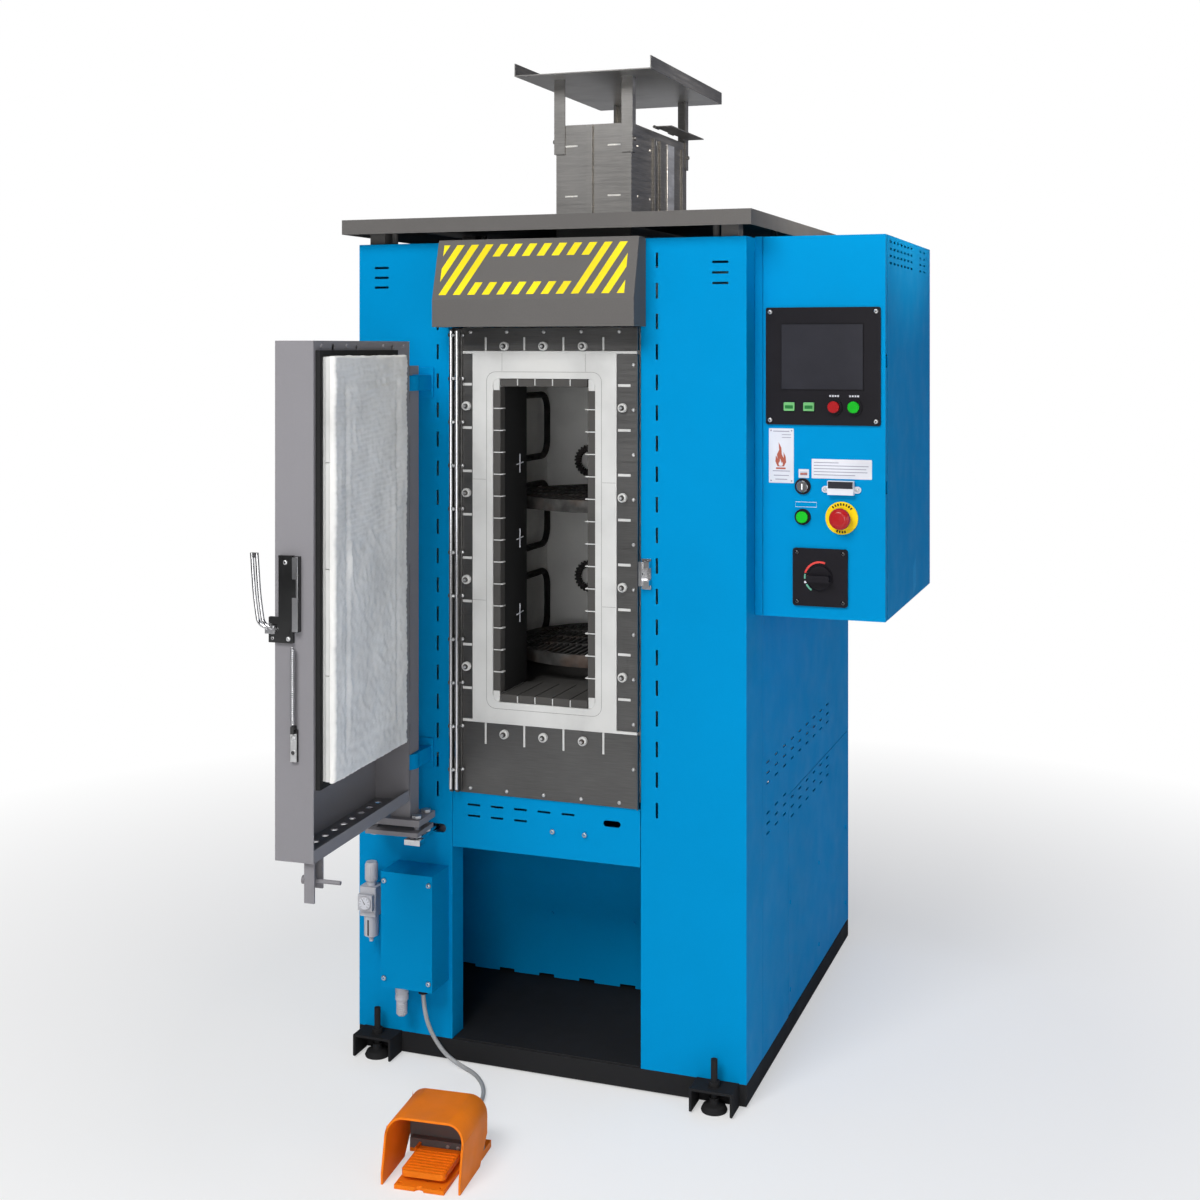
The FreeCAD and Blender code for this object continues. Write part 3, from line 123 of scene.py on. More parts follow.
class Surface:
    """A procedural material: tone, roughness and relief from noise in the object's own space."""

    def __init__(self, name, colour, rough=0.5, metallic=0.0, specular=0.5, coat=0.0):
        self.material = bpy.data.materials.new(name)
        self.material.use_nodes = True
        self.tree = self.material.node_tree
        self.shader = self.tree.nodes["Principled BSDF"]
        sockets = {"Metallic": metallic, "Specular IOR Level": specular, "Coat Weight": coat,
                   "Coat Roughness": 0.12, "Roughness": rough, "Base Color": (*colour, 1)}
        for socket, value in sockets.items():
            self.shader.inputs[socket].default_value = value
        self.colour = colour
        self.space = self.tree.nodes.new("ShaderNodeTexCoord").outputs["Object"]
        self.tone = None
        self.height = None

    def add(self, kind, **values):
        made = self.tree.nodes.new(kind)
        for key, value in values.items():
            setattr(made, key, value)
        return made

    def link(self, source, target):
        self.tree.links.new(source, target)

    def noise(self, scale, detail=3.0, stretch=(1, 1, 1)):
        """A noise with its cells per metre, stretched along the axes."""
        mapping = self.add("ShaderNodeMapping")
        mapping.inputs["Scale"].default_value = [scale * s for s in stretch]
        self.link(self.space, mapping.inputs["Vector"])
        texture = self.add("ShaderNodeTexNoise")
        texture.inputs["Scale"].default_value = 1.0
        texture.inputs["Detail"].default_value = detail
        self.link(mapping.outputs["Vector"], texture.inputs["Vector"])
        return texture.outputs["Fac"]

    def ramp(self, source, low, high, out_low=0.0, out_high=1.0):
        """Carries a value from one range to another, held at its ends."""
        made = self.add("ShaderNodeMapRange")
        ends = {"From Min": low, "From Max": high, "To Min": out_low, "To Max": out_high}
        for socket, value in ends.items():
            made.inputs[socket].default_value = value
        self.link(source, made.inputs["Value"])
        return made.outputs["Result"]

    def tint(self, factor, colour):
        """Lays a second colour over what is there so far, by a factor."""
        mix = self.add("ShaderNodeMix", data_type="RGBA", blend_type="MIX")
        self.link(factor, mix.inputs[0])
        if self.tone is None:
            mix.inputs[6].default_value = (*self.colour, 1)
        else:
            self.link(self.tone, mix.inputs[6])
        mix.inputs[7].default_value = (*colour, 1)
        self.tone = mix.outputs[2]
        self.link(self.tone, self.shader.inputs["Base Color"])
        return self

    def shade(self, factor, low, high):
        """Scales the tone between two shares by a factor."""
        darker = tuple(c * low for c in self.colour)
        lighter = tuple(min(1.0, c * high) for c in self.colour)
        self.tint(self.ramp(factor, 0.35, 0.5, 1.0, 0.0), darker)
        return self.tint(self.ramp(factor, 0.5, 0.65), lighter)

    def roughness(self, factor, low, high):
        """Varies the roughness between two values by a factor."""
        self.link(self.ramp(factor, 0.3, 0.7, low, high), self.shader.inputs["Roughness"])
        return self

    def relief(self, height, depth, strength=1.0):
        """Adds a bump of a depth in metres over the relief there so far."""
        bump = self.add("ShaderNodeBump")
        bump.inputs["Strength"].default_value = strength
        bump.inputs["Distance"].default_value = depth
        self.link(height, bump.inputs["Height"])
        if self.height is not None:
            self.link(self.height, bump.inputs["Normal"])
        self.height = bump.outputs["Normal"]
        self.link(self.height, self.shader.inputs["Normal"])
        return self

    def edge_highlight_and_wear(self, colour, amount):
        """Lightens the tone in patches along edges, where a rounded normal leaves the true one: a painted edge
        highlight, with some rubbed paint.
        """
        rounded = self.add("ShaderNodeBevel", samples=4)
        rounded.inputs["Radius"].default_value = 0.0012
        true = self.add("ShaderNodeNewGeometry")
        dot = self.add("ShaderNodeVectorMath", operation="DOT_PRODUCT")
        self.link(rounded.outputs["Normal"], dot.inputs[0])
        self.link(true.outputs["Normal"], dot.inputs[1])
        edge = self.ramp(dot.outputs["Value"], 0.995, 0.85)
        patches = self.ramp(self.noise(90, 4), 0.45, 0.7)
        product = self.add("ShaderNodeMath", operation="MULTIPLY")
        self.link(edge, product.inputs[0])
        self.link(patches, product.inputs[1])
        return self.tint(self.ramp(product.outputs["Value"], 0.0, 1.0, 0.0, amount), colour)


def painted(name, colour, rough=(0.34, 0.5), glint_and_grain=0.07, edge_light_and_wear=(0.55, 0.6, 0.62)):
    """Powder coat: orange-peel relief, fine light and dark specks, the light ones painted glints, and edges
    lightened a little: a painted edge highlight with some rubbed paint.
    """
    made = Surface(name, colour, specular=0.02)
    made.shade(made.noise(1.6, 4), 0.95, 1.05)
    grain = made.noise(900, 2)
    # light specks: painted glints; dark specks: grain in the coat
    made.tint(made.ramp(grain, 0.56, 0.72, 0.0, glint_and_grain), tuple(min(1, c * 1.5 + 0.03) for c in colour))
    made.tint(made.ramp(grain, 0.44, 0.3, 0.0, glint_and_grain), tuple(c * 0.45 for c in colour))
    # edges lightened in patches: painted edge highlight, partly rubbed paint
    made.edge_highlight_and_wear(edge_light_and_wear, 0.35)
    made.roughness(made.noise(14, 5), *rough)
    return made.relief(made.noise(420, 2), 0.00012, 0.5).material


def brushed(name, colour, rough=(0.26, 0.42), along=(1, 1, 40), stains=0.25, depth=0.00004):
    """Sheet steel with a directional grain, soft clouding and light handling stains."""
    made = Surface(name, colour, metallic=1.0)
    made.shade(made.noise(3, 5), 0.8, 1.18)
    grain = made.noise(26, 4, along)
    made.tint(made.ramp(grain, 0.4, 0.65, 0.0, 0.35), tuple(min(1, c * 1.45) for c in colour))
    made.tint(made.ramp(made.noise(7, 6), 0.55, 0.8, 0.0, stains), tuple(c * 0.5 for c in colour))
    made.roughness(made.noise(9, 5, along), *rough)
    return made.relief(grain, depth, 0.6).material


def plastic(name, colour, rough=(0.38, 0.52), relief=0.00005, coat=0.0, scale=900):
    """Moulded plastic with a fine spark texture and slight clouding."""
    made = Surface(name, colour, specular=0.14, coat=coat)
    made.shade(made.noise(9, 4), 0.9, 1.1)
    made.roughness(made.noise(30, 4), *rough)
    return made.relief(made.noise(scale, 2), relief, 0.6).material


def fibre(name, colour, scorch=0.25, depth=0.0006):
    """Vacuum-formed ceramic fibre: matt, cloudy and pitted, browned in patches."""
    made = Surface(name, colour, rough=0.92, specular=0.2)
    made.shade(made.noise(10, 6), 0.9, 1.06)
    browned = tuple(c * s for c, s in zip(colour, (0.8, 0.74, 0.66)))
    made.tint(made.ramp(made.noise(5, 6), 0.55, 0.8, 0.0, scorch), browned)
    made.relief(made.noise(160, 5), depth, 0.5)
    return made.relief(made.noise(900, 3), depth * 0.3, 0.5).material


def scaled_iron(name, colour, rust=0.5):
    """Cast heat-resisting iron with oxide scale and rust blooms."""
    made = Surface(name, colour, rough=0.8, metallic=0.35, specular=0.4)
    made.shade(made.noise(35, 6), 0.6, 1.5)
    made.tint(made.ramp(made.noise(18, 7), 0.5, 0.72, 0.0, rust), (0.16, 0.075, 0.035))
    made.roughness(made.noise(60, 4), 0.6, 0.9)
    return made.relief(made.noise(320, 5), 0.0006, 0.7).material


def plated(name, colour, rough=(0.08, 0.2)):
    """Bright plating with faint pitting and finger marks."""
    made = Surface(name, colour, metallic=1.0)
    made.tint(made.ramp(made.noise(45, 6), 0.58, 0.8, 0.0, 0.2), tuple(c * 0.55 for c in colour))
    made.roughness(made.noise(22, 5), *rough)
    return made.relief(made.noise(240, 3), 0.00003, 0.5).material


LOOKS = {
    # the light blue along this coat's edges is a painted edge highlight
    "blue_paint": painted("blue_powder_coat", (0.0, 0.262, 0.575), edge_light_and_wear=(0.12, 0.42, 0.66)),
    "black_paint": painted("black_powder_coat", (0.022, 0.022, 0.023), (0.5, 0.65), 0.05, (0.1, 0.1, 0.1)),
    "grey_paint": painted("grey_powder_coat", (0.245, 0.238, 0.252), (0.4, 0.55), 0.06, (0.6, 0.6, 0.6)),
    "dark_paint": painted("warm_grey_coat", (0.135, 0.129, 0.124), (0.4, 0.55), 0.1, (0.5, 0.5, 0.5)),
    "stainless": brushed("brushed_stainless", (0.132, 0.13, 0.127), (0.34, 0.5), (1, 1, 40), 0.35),
    "dull_stainless": brushed("rolled_stainless", (0.2, 0.195, 0.188), (0.38, 0.55), (1, 1, 18), 0.45),
    "zinc": brushed("zinc_plate", (0.62, 0.62, 0.62), (0.35, 0.5), (1, 1, 6), 0.3),
    "aluminium": brushed("cast_aluminium", (0.5, 0.51, 0.52), (0.4, 0.6), (3, 3, 3), 0.2, 0.0001),
    "chrome": plated("bright_plating", (0.62, 0.62, 0.63)),
    "fibre": fibre("fibre_board", (0.6, 0.6, 0.585), 0.18, 0.0003),
    "fibre_block": fibre("fibre_blanket", (0.78, 0.775, 0.755), 0.14),
    "refractory": fibre("fired_refractory", (0.075, 0.072, 0.068), 0.5, 0.0008),
    "iron": scaled_iron("heat_scaled_iron", (0.074, 0.072, 0.069), 0.35),
    "element": scaled_iron("element_sheath", (0.018, 0.017, 0.017), 0.12),
    "black_plastic": plastic("black_moulding", (0.009, 0.008, 0.011)),
    "grey_plastic": plastic("grey_moulding", (0.15, 0.145, 0.145)),
    "light_plastic": plastic("light_grey_moulding", (0.5, 0.5, 0.53)),
    "orange_plastic": plastic("orange_moulding", (0.84, 0.2, 0.008), (0.4, 0.55), 0.00009, 0.0, 600),
    "red_plastic": plastic("red_lens", (0.42, 0.012, 0.015), (0.2, 0.32), 0.00002, 0.4),
    "green_plastic": plastic("green_lens", (0.01, 0.48, 0.02), (0.2, 0.32), 0.00002, 0.4),
    "pale_green_plastic": plastic("pale_green_lens", (0.17, 0.48, 0.18), (0.2, 0.32), 0.00002, 0.4),
    "yellow_plastic": plastic("yellow_plate", (0.93, 0.66, 0.008), (0.35, 0.5)),
    "white_plastic": plastic("white_print", (0.68, 0.69, 0.74), (0.4, 0.55)),
    "screen": plastic("dark_panel_glass", (0.03, 0.03, 0.037), (0.12, 0.2), 0.00001, 0.6),
    # near-black fibre; laid over the throat walls it is painted shade
    "gasket": fibre("near_black_fibre", (0.02, 0.02, 0.02), 0.0, 0.001),
    "black_chrome": plated("black_chrome", (0.09, 0.09, 0.09), (0.1, 0.25)),
    "cable": plastic("grey_cable_sheath", (0.4, 0.4, 0.4), (0.45, 0.6), 0.00008, 0.0, 500),
}
PRINT_YELLOW = plastic("hazard_yellow_film", (0.93, 0.75, 0.012), (0.45, 0.6), 0.00003)
PRINT_RED = plastic("red_print", (0.75, 0.07, 0.06), (0.4, 0.55))
PRINT_GREEN = plastic("green_print", (0.14, 0.42, 0.3), (0.4, 0.55))
PRINT_GREY = plastic("grey_print", (0.28, 0.28, 0.36), (0.4, 0.55))
PRINT_BROWN = plastic("brown_print", (0.42, 0.11, 0.07), (0.4, 0.55))
DARK_WINDOW = plastic("dark_green_window", (0.02, 0.17, 0.04))
# near-white brushed metal under the cap: painted light in place of light from below
CAP_PAINTED_LIGHT = brushed("cap_underside_painted_light", (0.8, 0.79, 0.77), (0.3, 0.45), (1, 12, 1), 0.5)
COIL_WIRE = scaled_iron("coil_wire", (0.075, 0.072, 0.07), 0.1)
# a paler blue for the bent tab on the side: painted highlight where the tab catches light
BLUE_PAINTED_HIGHLIGHT = painted("blue_tab_painted_highlight", (0.015, 0.33, 0.66))


# ---------------------------------------------------------------- mesh building

class Piece:
    """One mesh built in the millimetres of a drawing frame."""

    def __init__(self, name, place=AT_CABINET):
        self.name, self.place, self.mesh = name, place, bmesh.new()

    def grid(self, rows, close_rows=False, close_columns=False):
        """Quads between rows of points; returns the rows' vertices."""
        made = [[self.mesh.verts.new(Vector(p)) for p in row] for row in rows]
        count, wide = len(made), len(made[0])
        for i in range(count if close_rows else count - 1):
            for k in range(wide if close_columns else wide - 1):
                corners = [made[i][k], made[i][(k + 1) % wide],
                           made[(i + 1) % count][(k + 1) % wide], made[(i + 1) % count][k]]
                self.mesh.faces.new(corners)
        return made

    def lathe(self, profile, centre, axis="z", steps=28):
        """Turns (radius, height) points about an axis: z, y or x, and -y for pieces on the front."""
        turn = {"z": Matrix.Identity(3), "-y": Matrix.Rotation(math.pi / 2, 3, "X"),
                "y": Matrix.Rotation(-math.pi / 2, 3, "X"), "x": Matrix.Rotation(math.pi / 2, 3, "Y")}[axis]
        rows = []
        for k in range(steps):
            angle = 2 * math.pi * k / steps
            rows.append([Vector(centre) + turn @ Vector((r * math.cos(angle), r * math.sin(angle), h))
                         for r, h in profile])
        made = self.grid(rows, close_rows=True)
        for end in (0, -1):
            if profile[end][0] > 0.001:
                self.mesh.faces.new([row[end] for row in made])
        return self

    def block(self, low, high):
        """A rectangular block between two corners."""
        (x0, y0, z0), (x1, y1, z1) = low, high
        outline = [(x0, y0), (x1, y0), (x1, y1), (x0, y1)]
        return self.prism(outline, z0, z1, lambda u, v, w: (u, v, w))

    def prism(self, outline, low, high, put):
        """An outline of (u, v) points extruded from low to high; put turns (u, v, w) into a point."""
        rows = [[put(u, v, w) for u, v in outline] for w in (low, high)]
        made = self.grid(rows, close_columns=True)
        for row in made:
            self.mesh.faces.new(row)
        return self

    def tube(self, path, radius, sides=10, closed=False):
        """A round bar along points; radius may be a function of the share of the way."""
        points = [Vector(p) for p in path]
        count = len(points)
        rows, side = [], None
        for k, p in enumerate(points):
            ahead = points[(k + 1) % count] if closed or k + 1 < count else p
            behind = points[k - 1] if closed or k else p
            forward = (ahead - behind).normalized()
            if side is None:
                side = forward.orthogonal().normalized()
            side = (side - forward * side.dot(forward)).normalized()
            other = forward.cross(side)
            r = radius(k / count) if callable(radius) else radius
            rows.append([p + side * r * math.cos(a) + other * r * math.sin(a)
                         for a in (2 * math.pi * i / sides for i in range(sides))])
        made = self.grid(rows, close_rows=closed, close_columns=True)
        if not closed:
            for row in (made[0], made[-1]):
                self.mesh.faces.new(row)
        return self

    def done(self, body, look, bevel=0.0, smooth=35.0, slot=None, stands_for=()):
        """Makes the object: faces out, edges softened, riding on its body."""
        bmesh.ops.remove_doubles(self.mesh, verts=self.mesh.verts, dist=1e-5)
        bmesh.ops.recalc_face_normals(self.mesh, faces=self.mesh.faces)
        data = bpy.data.meshes.new(self.name)
        self.mesh.transform(self.place @ Matrix.Diagonal((MM, MM, MM, 1)))
        self.mesh.to_mesh(data)
        self.mesh.free()
        made = bpy.data.objects.new(self.name, data)
        bpy.context.scene.collection.objects.link(made)
        made.data.materials.append(LOOKS[look] if isinstance(look, str) else look)
        if bevel:
            soften(made, bevel)
        for face in data.polygons:
            face.use_smooth = True
        data.set_sharp_from_angle(angle=math.radians(smooth))
        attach(made, body)
        if stands_for:
            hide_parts(*stands_for)
        return made


def soften(obj, width, weld=False):
    """Small rounds along the sharp edges, in millimetres."""
    if weld:
        joined = obj.modifiers.new("weld", "WELD")
        joined.merge_threshold = 0.00002
    made = obj.modifiers.new("edge_rounds", "BEVEL")
    made.width = width * MM
    made.segments = 2
    made.limit_method = "ANGLE"
    made.angle_limit = math.radians(40)


def clipped(points, axis, limit, above):
    """The part of a flat outline on one side of a line u = limit or v = limit."""
    kept = []
    for here, ahead in zip(points, points[1:] + points[:1]):
        inside = here[axis] >= limit if above else here[axis] <= limit
        next_in = ahead[axis] >= limit if above else ahead[axis] <= limit
        if inside:
            kept.append(here)
        if inside != next_in:
            t = (limit - here[axis]) / (ahead[axis] - here[axis])
            kept.append(tuple(a + (b - a) * t for a, b in zip(here, ahead)))
    return kept


def on_front(y):
    """Puts (x, z, out) onto a face that looks to the front at y."""
    return lambda u, v, w: (u, y - w, v)


def rectangle(x0, x1, z0, z1):
    return [(x0, z0), (x1, z0), (x1, z1), (x0, z1)]


def rounded_rectangle(x0, x1, z0, z1, radius, steps=5):
    outline = []
    for cx, cz, start in ((x1 - radius, z1 - radius, 0), (x0 + radius, z1 - radius, 90),
                          (x0 + radius, z0 + radius, 180), (x1 - radius, z0 + radius, 270)):
        for k in range(steps + 1):
            a = math.radians(start + 90 * k / steps)
            outline.append((cx + radius * math.cos(a), cz + radius * math.sin(a)))
    return outline


def band(piece, outline, width, put, low, high):
    """A closed band of a width inside an outline, raised from low to high."""
    middle = Vector((sum(p[0] for p in outline) / len(outline), sum(p[1] for p in outline) / len(outline)))
    inner = []
    for k, (u, v) in enumerate(outline):
        ahead, behind = Vector(outline[(k + 1) % len(outline)]), Vector(outline[k - 1])
        along = (ahead - behind).normalized()
        normal = Vector((-along.y, along.x))
        if normal.dot(middle - Vector((u, v))) < 0:
            normal = -normal
        inner.append((u + normal.x * width, v + normal.y * width))
    rows = [[put(*p, low) for p in outline], [put(*p, high) for p in outline],
            [put(*p, high) for p in inner], [put(*p, low) for p in inner]]
    piece.grid(rows, close_rows=True, close_columns=True)
    return piece


def dome(radius, height):
    """The profile of a button-head screw with its socket."""
    shares = [(1, 0), (1, 0.3), (0.86, 0.72), (0.6, 0.95), (0.42, 1), (0.38, 0.97), (0.36, 0.45), (0, 0.4)]
    return [(radius * r, height * h) for r, h in shares]


def ring(radius, corners, turn=0.0):
    """The corners of a regular outline."""
    angles = [turn + 2 * math.pi * k / corners for k in range(corners)]
    return [(radius * math.cos(a), radius * math.sin(a)) for a in angles]


# ---------------------------------------------------------------- camera, light and floor

LENS, VIEW_TURN, VIEW_SHIFT = 49.2, 19.97, -0.2106
CAMERA_PLACE = Vector((1147, -2852, 1365))

camera_data = bpy.data.cameras.new("camera")
camera_data.lens = LENS
camera_data.sensor_width = 36
camera_data.shift_y = VIEW_SHIFT
camera_data.clip_end = 60
camera = bpy.data.objects.new("camera", camera_data)
camera.location = AT_CABINET @ (CAMERA_PLACE * MM)
camera.rotation_euler = (math.pi / 2, 0, math.radians(VIEW_TURN))
bpy.context.scene.collection.objects.link(camera)
bpy.context.scene.camera = camera
bpy.context.scene.view_settings.view_transform = "Standard"


def studio_light(name, kind, place, target, power, colour=(1, 1, 1)):
    """A light of a kind, AREA or SPOT, that looks from its place to a target, in metres."""
    data = bpy.data.lights.new(name, kind)
    data.energy, data.color = power, colour
    light = bpy.data.objects.new(name, data)
    light.location = place
    light.rotation_euler = (Vector(target) - Vector(place)).to_track_quat("-Z", "Y").to_euler()
    bpy.context.scene.collection.objects.link(light)
    return data


def soft_box(name, place, target, size, power, colour=(1, 1, 1)):
    data = studio_light(name, "AREA", place, target, power, colour)
    data.shape, data.size, data.size_y = "RECTANGLE", size[0], size[1]


soft_box("key", (-0.6, -4.4, 4.3), (0, 0, 0.75), (2.4, 2.0), 200)
soft_box("mouth", (0.8, -3.6, 1.2), (-0.2, 0, 0.95), (1.2, 1.2), 24)
soft_box("side", (4.0, 2.4, 1.6), (0.4, 0.2, 0.9), (2.6, 2.6), 26, (0.34, 0.52, 1.0))
soft_box("door", (3.8, -2.2, 1.3), (-0.3, -0.5, 0.95), (1.8, 1.8), 22)
soft_box("top", (0.2, 0.2, 4.8), (0, 0, 0.8), (2.6, 2.6), 24)
flue_light = studio_light("flue", "SPOT", (3.2, -0.9, 2.05), (0.0, 0.25, 1.84), 900, (1.0, 0.9, 0.76))
flue_light.spot_size = math.radians(13)
flue_light.spot_blend = 0.5
flue_light.shadow_soft_size = 0.25

world = bpy.data.worlds.new("studio")
bpy.context.scene.world = world
world.use_nodes = True
sky = world.node_tree
sky.nodes.clear()
output = sky.nodes.new("ShaderNodeOutputWorld")
seen = sky.nodes.new("ShaderNodeBackground")
seen.inputs["Color"].default_value = (1, 1, 1, 1)
seen.inputs["Strength"].default_value = 1.0
lit = sky.nodes.new("ShaderNodeBackground")
lit.inputs["Strength"].default_value = 0.27
height = sky.nodes.new("ShaderNodeSeparateXYZ")
place = sky.nodes.new("ShaderNodeTexCoord")
tones = sky.nodes.new("ShaderNodeValToRGB")
SKY_TONES = ((0.3, (0.85, 0.85, 0.86, 1)), (0.62, (0.5, 0.5, 0.52, 1)))
for stop, (where, tone) in zip(tones.color_ramp.elements, SKY_TONES):
    stop.position, stop.color = where, tone
shifted = sky.nodes.new("ShaderNodeMapRange")
shifted.inputs["From Min"].default_value = -1.0
path = sky.nodes.new("ShaderNodeLightPath")
mix = sky.nodes.new("ShaderNodeMixShader")
sky.links.new(place.outputs["Generated"], height.inputs[0])
sky.links.new(height.outputs["Z"], shifted.inputs["Value"])
sky.links.new(shifted.outputs["Result"], tones.inputs["Fac"])
sky.links.new(tones.outputs["Color"], lit.inputs["Color"])
sky.links.new(path.outputs["Is Camera Ray"], mix.inputs[0])
sky.links.new(lit.outputs[0], mix.inputs[1])
sky.links.new(seen.outputs[0], mix.inputs[2])
sky.links.new(mix.outputs[0], output.inputs[0])

FLOOR_NEAR, FLOOR_FAR = 0.9, 2.6
ground = Surface("floor", (0.94, 0.94, 0.94), rough=0.85, specular=0.1)
away = ground.add("ShaderNodeVectorMath", operation="LENGTH")
ground.link(ground.space, away.inputs[0])
camera_ray = ground.add("ShaderNodeLightPath").outputs["Is Camera Ray"]
share = ground.add("ShaderNodeMath", operation="MULTIPLY")
ground.link(ground.ramp(away.outputs["Value"], FLOOR_NEAR, FLOOR_FAR, 0.45, 1.0), share.inputs[0])
ground.link(camera_ray, share.inputs[1])
white = ground.add("ShaderNodeEmission")
blend = ground.add("ShaderNodeMixShader")
ground.link(share.outputs["Value"], blend.inputs[0])
ground.link(ground.shader.outputs[0], blend.inputs[1])
ground.link(white.outputs[0], blend.inputs[2])
ground.link(blend.outputs[0], ground.tree.nodes["Material Output"].inputs[0])
bpy.ops.mesh.primitive_plane_add(size=60, location=(0, 0, -0.0005))
floor = bpy.context.object
floor.name = "floor"
floor.data.materials.append(ground.material)
floor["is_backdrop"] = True

# ---------------------------------------------------------------- cable of the foot switch

CABLE_EXIT = (-232, -40, 139)
SOCKET = AT_CABINET.inverted() @ (AT_FOOT @ (Vector((12, 187, 26)) * MM)) / MM
CABLE_ROUTE = [CABLE_EXIT, (-230, -40, 106), (-218, -34, 62), (-194, -22, 20), (-160, -24, 4.6),
               (-120, -46, 4.2), (-88, -84, 4.6), (-70, -122, 4.2), (-62, -160, 4.6),
               (-48, -204, 8), (SOCKET.x - 3, SOCKET.y + 34, 20), tuple(SOCKET)]
CABLE_WIDTH = 0.008
curve = bpy.data.curves.new("foot_switch_cable", "CURVE")
curve.dimensions = "3D"
curve.bevel_depth = CABLE_WIDTH / 2
curve.bevel_resolution = 4
curve.resolution_u = 24
curve.use_fill_caps = True
spline = curve.splines.new("NURBS")
spline.points.add(len(CABLE_ROUTE) - 1)
for point, corner in zip(spline.points, CABLE_ROUTE):
    point.co = (*(AT_CABINET @ (Vector(corner) * MM)), 1)
spline.order_u = 3
spline.use_endpoint_u = True
cable = bpy.data.objects.new("foot_switch_cable", curve)
bpy.context.scene.collection.objects.link(cable)
curve.materials.append(LOOKS["cable"])
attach(cable, "root")
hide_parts("foot_cable")

# ---------------------------------------------------------------- CAD nodes: materials and edges

EDGE_ROUNDS = {
    "cabinet_panels": 0.8, "left_column": 1.0, "right_column": 1.0, "crossbar": 1.0, "hood": 1.0,
    "control_box": 1.2, "control_door": 1.2, "junction_box": 1.2, "door_shell": 1.0, "heat_shield": 0.8,
    "base_frame": 1.5, "hinge_post": 1.2, "hinge_brackets": 1.2, "door_tray": 0.6, "front_plates": 0.4,
    "rain_cap": 0.5, "flue_duct": 0.5, "foot_guard": 1.2, "foot_base": 1.5, "foot_case": 1.5,
    "foot_pedal": 0.8, "panel_plates": 0.5, "touch_screen": 0.6, "stop_ring": 0.5, "panel_meter": 0.8,
    "key_switch": 0.4,
    "main_switch": 0.8, "emergency_stop": 0.8, "start_button": 0.5, "stop_button": 0.5, "lamp_button": 0.5,
    "left_key": 0.4, "right_key": 0.4, "air_regulator": 1.0, "regulator_knob": 0.4, "latch_base": 0.6,
    "latch_lever": 0.5, "keeper": 0.5, "levelling_feet": 0.8, "ceramic_frame": 0.8, "refractory": 1.0,
    "door_cylinder": 0.6, "drive_motor": 1.0, "upper_shelf": 0.5, "lower_shelf": 0.5,
}

for name, node in NODES.items():
    node.data.materials.clear()
    node.data.materials.append(LOOKS[SLOT_OF[name]])
    if name in EDGE_ROUNDS:
        soften(node, EDGE_ROUNDS[name], weld=True)

# ---------------------------------------------------------------- hood: hazard stripes

STRIPE_START, STRIPE_PITCH, STRIPE_WIDE, STRIPE_LEAN, FILM = 12.6, 29.5, 14.8, 57.0, 0.3
LABEL_U, LABEL_HIGH, LABEL_UP = (13.0, 381.0), 98.0, 9.0
OPEN_V = (24.0, 74.0)
SPLIT_STRIPES = range(2, 9)
hood_low = local_box("hood")[0]
FOLD, TOP = Vector((-69, 1454)), Vector((-38, 1567))
rake = (TOP - FOLD).normalized()


def on_rake(u, v, w):
    return (hood_low.x + u, FOLD.x + (LABEL_UP + v) * rake.x - rake.y * w,
            FOLD.y + (LABEL_UP + v) * rake.y + rake.x * w)


stripes = Piece("hood_stripes")
for k in range(-2, 13):
    start = STRIPE_START + STRIPE_PITCH * k
    whole = [(start, 0), (start + STRIPE_WIDE, 0), (start + STRIPE_WIDE + STRIPE_LEAN, LABEL_HIGH),
             (start + STRIPE_LEAN, LABEL_HIGH)]
    whole = clipped(clipped(whole, 0, LABEL_U[0], True), 0, LABEL_U[1], False)
    parts = [whole]
    if k in SPLIT_STRIPES:
        parts = [clipped(whole, 1, OPEN_V[0], False), clipped(whole, 1, OPEN_V[1], True)]
    for outline in parts:
        if len(outline) >= 3:
            stripes.prism(outline, 0.02, FILM, on_rake)
stripes.done("root", PRINT_YELLOW, smooth=20, slot="yellow_plastic")

# ---------------------------------------------------------------- door: fibre board, blanket, latch spring

block_low, block_high = local_box("door_block", AT_DOOR)
BOARD_Y = (block_low.y, block_low.y + 12, block_low.y + 20)
BOARD_BLOCKS = 4
board = Piece("door_board", AT_DOOR)
board.block((block_low.x + 1, BOARD_Y[0], block_low.z + 1),
            (block_high.x - 1, BOARD_Y[1] - 0.4, block_high.z - 1))
tall = (block_high.z - block_low.z) / BOARD_BLOCKS
for k in range(BOARD_BLOCKS):
    z = block_low.z + tall * k
    board.block((block_low.x, BOARD_Y[1], z + 0.5), (block_high.x, BOARD_Y[2], z + tall - 0.5))
board.done("door", "fibre", bevel=1.2, slot="fibre_block")

# the blanket's folds: middle x and z, reach, angle in degrees, height
CREASES = [(345, 985, 34, 75, 3.0), (352, 1000, 40, 95, 2.2), (300, 965, 22, 20, 1.8),
           (250, 1030, 26, 40, 1.6), (180, 900, 24, 60, 1.6), (330, 1215, 30, 80, 2.0),
           (385, 1160, 34, 100, 1.8), (160, 1075, 26, 15, 1.4), (230, 820, 30, 35, 1.3),
           (300, 760, 28, 50, 1.3), (385, 880, 36, 88, 1.4), (140, 1240, 30, 85, 1.2)]
CREASE_WIDE = 4.5
ROLL_DEEP, ROLL_WIDE = 2.4, 4.0
LIFT_HIGH, LIFT_WIDE, LIFT_IN = 0.9, 7.0, 12
SOFT_HIGH, ROUGH_HIGH, SETTLE = 1.9, 1.5, 2.6
STAMP_IN, STAMP_WIDE, STAMP_DEEP = 44.0, 7.0, 1.9
RIB_PITCH, RIB_HIGH = 9.5, 0.72


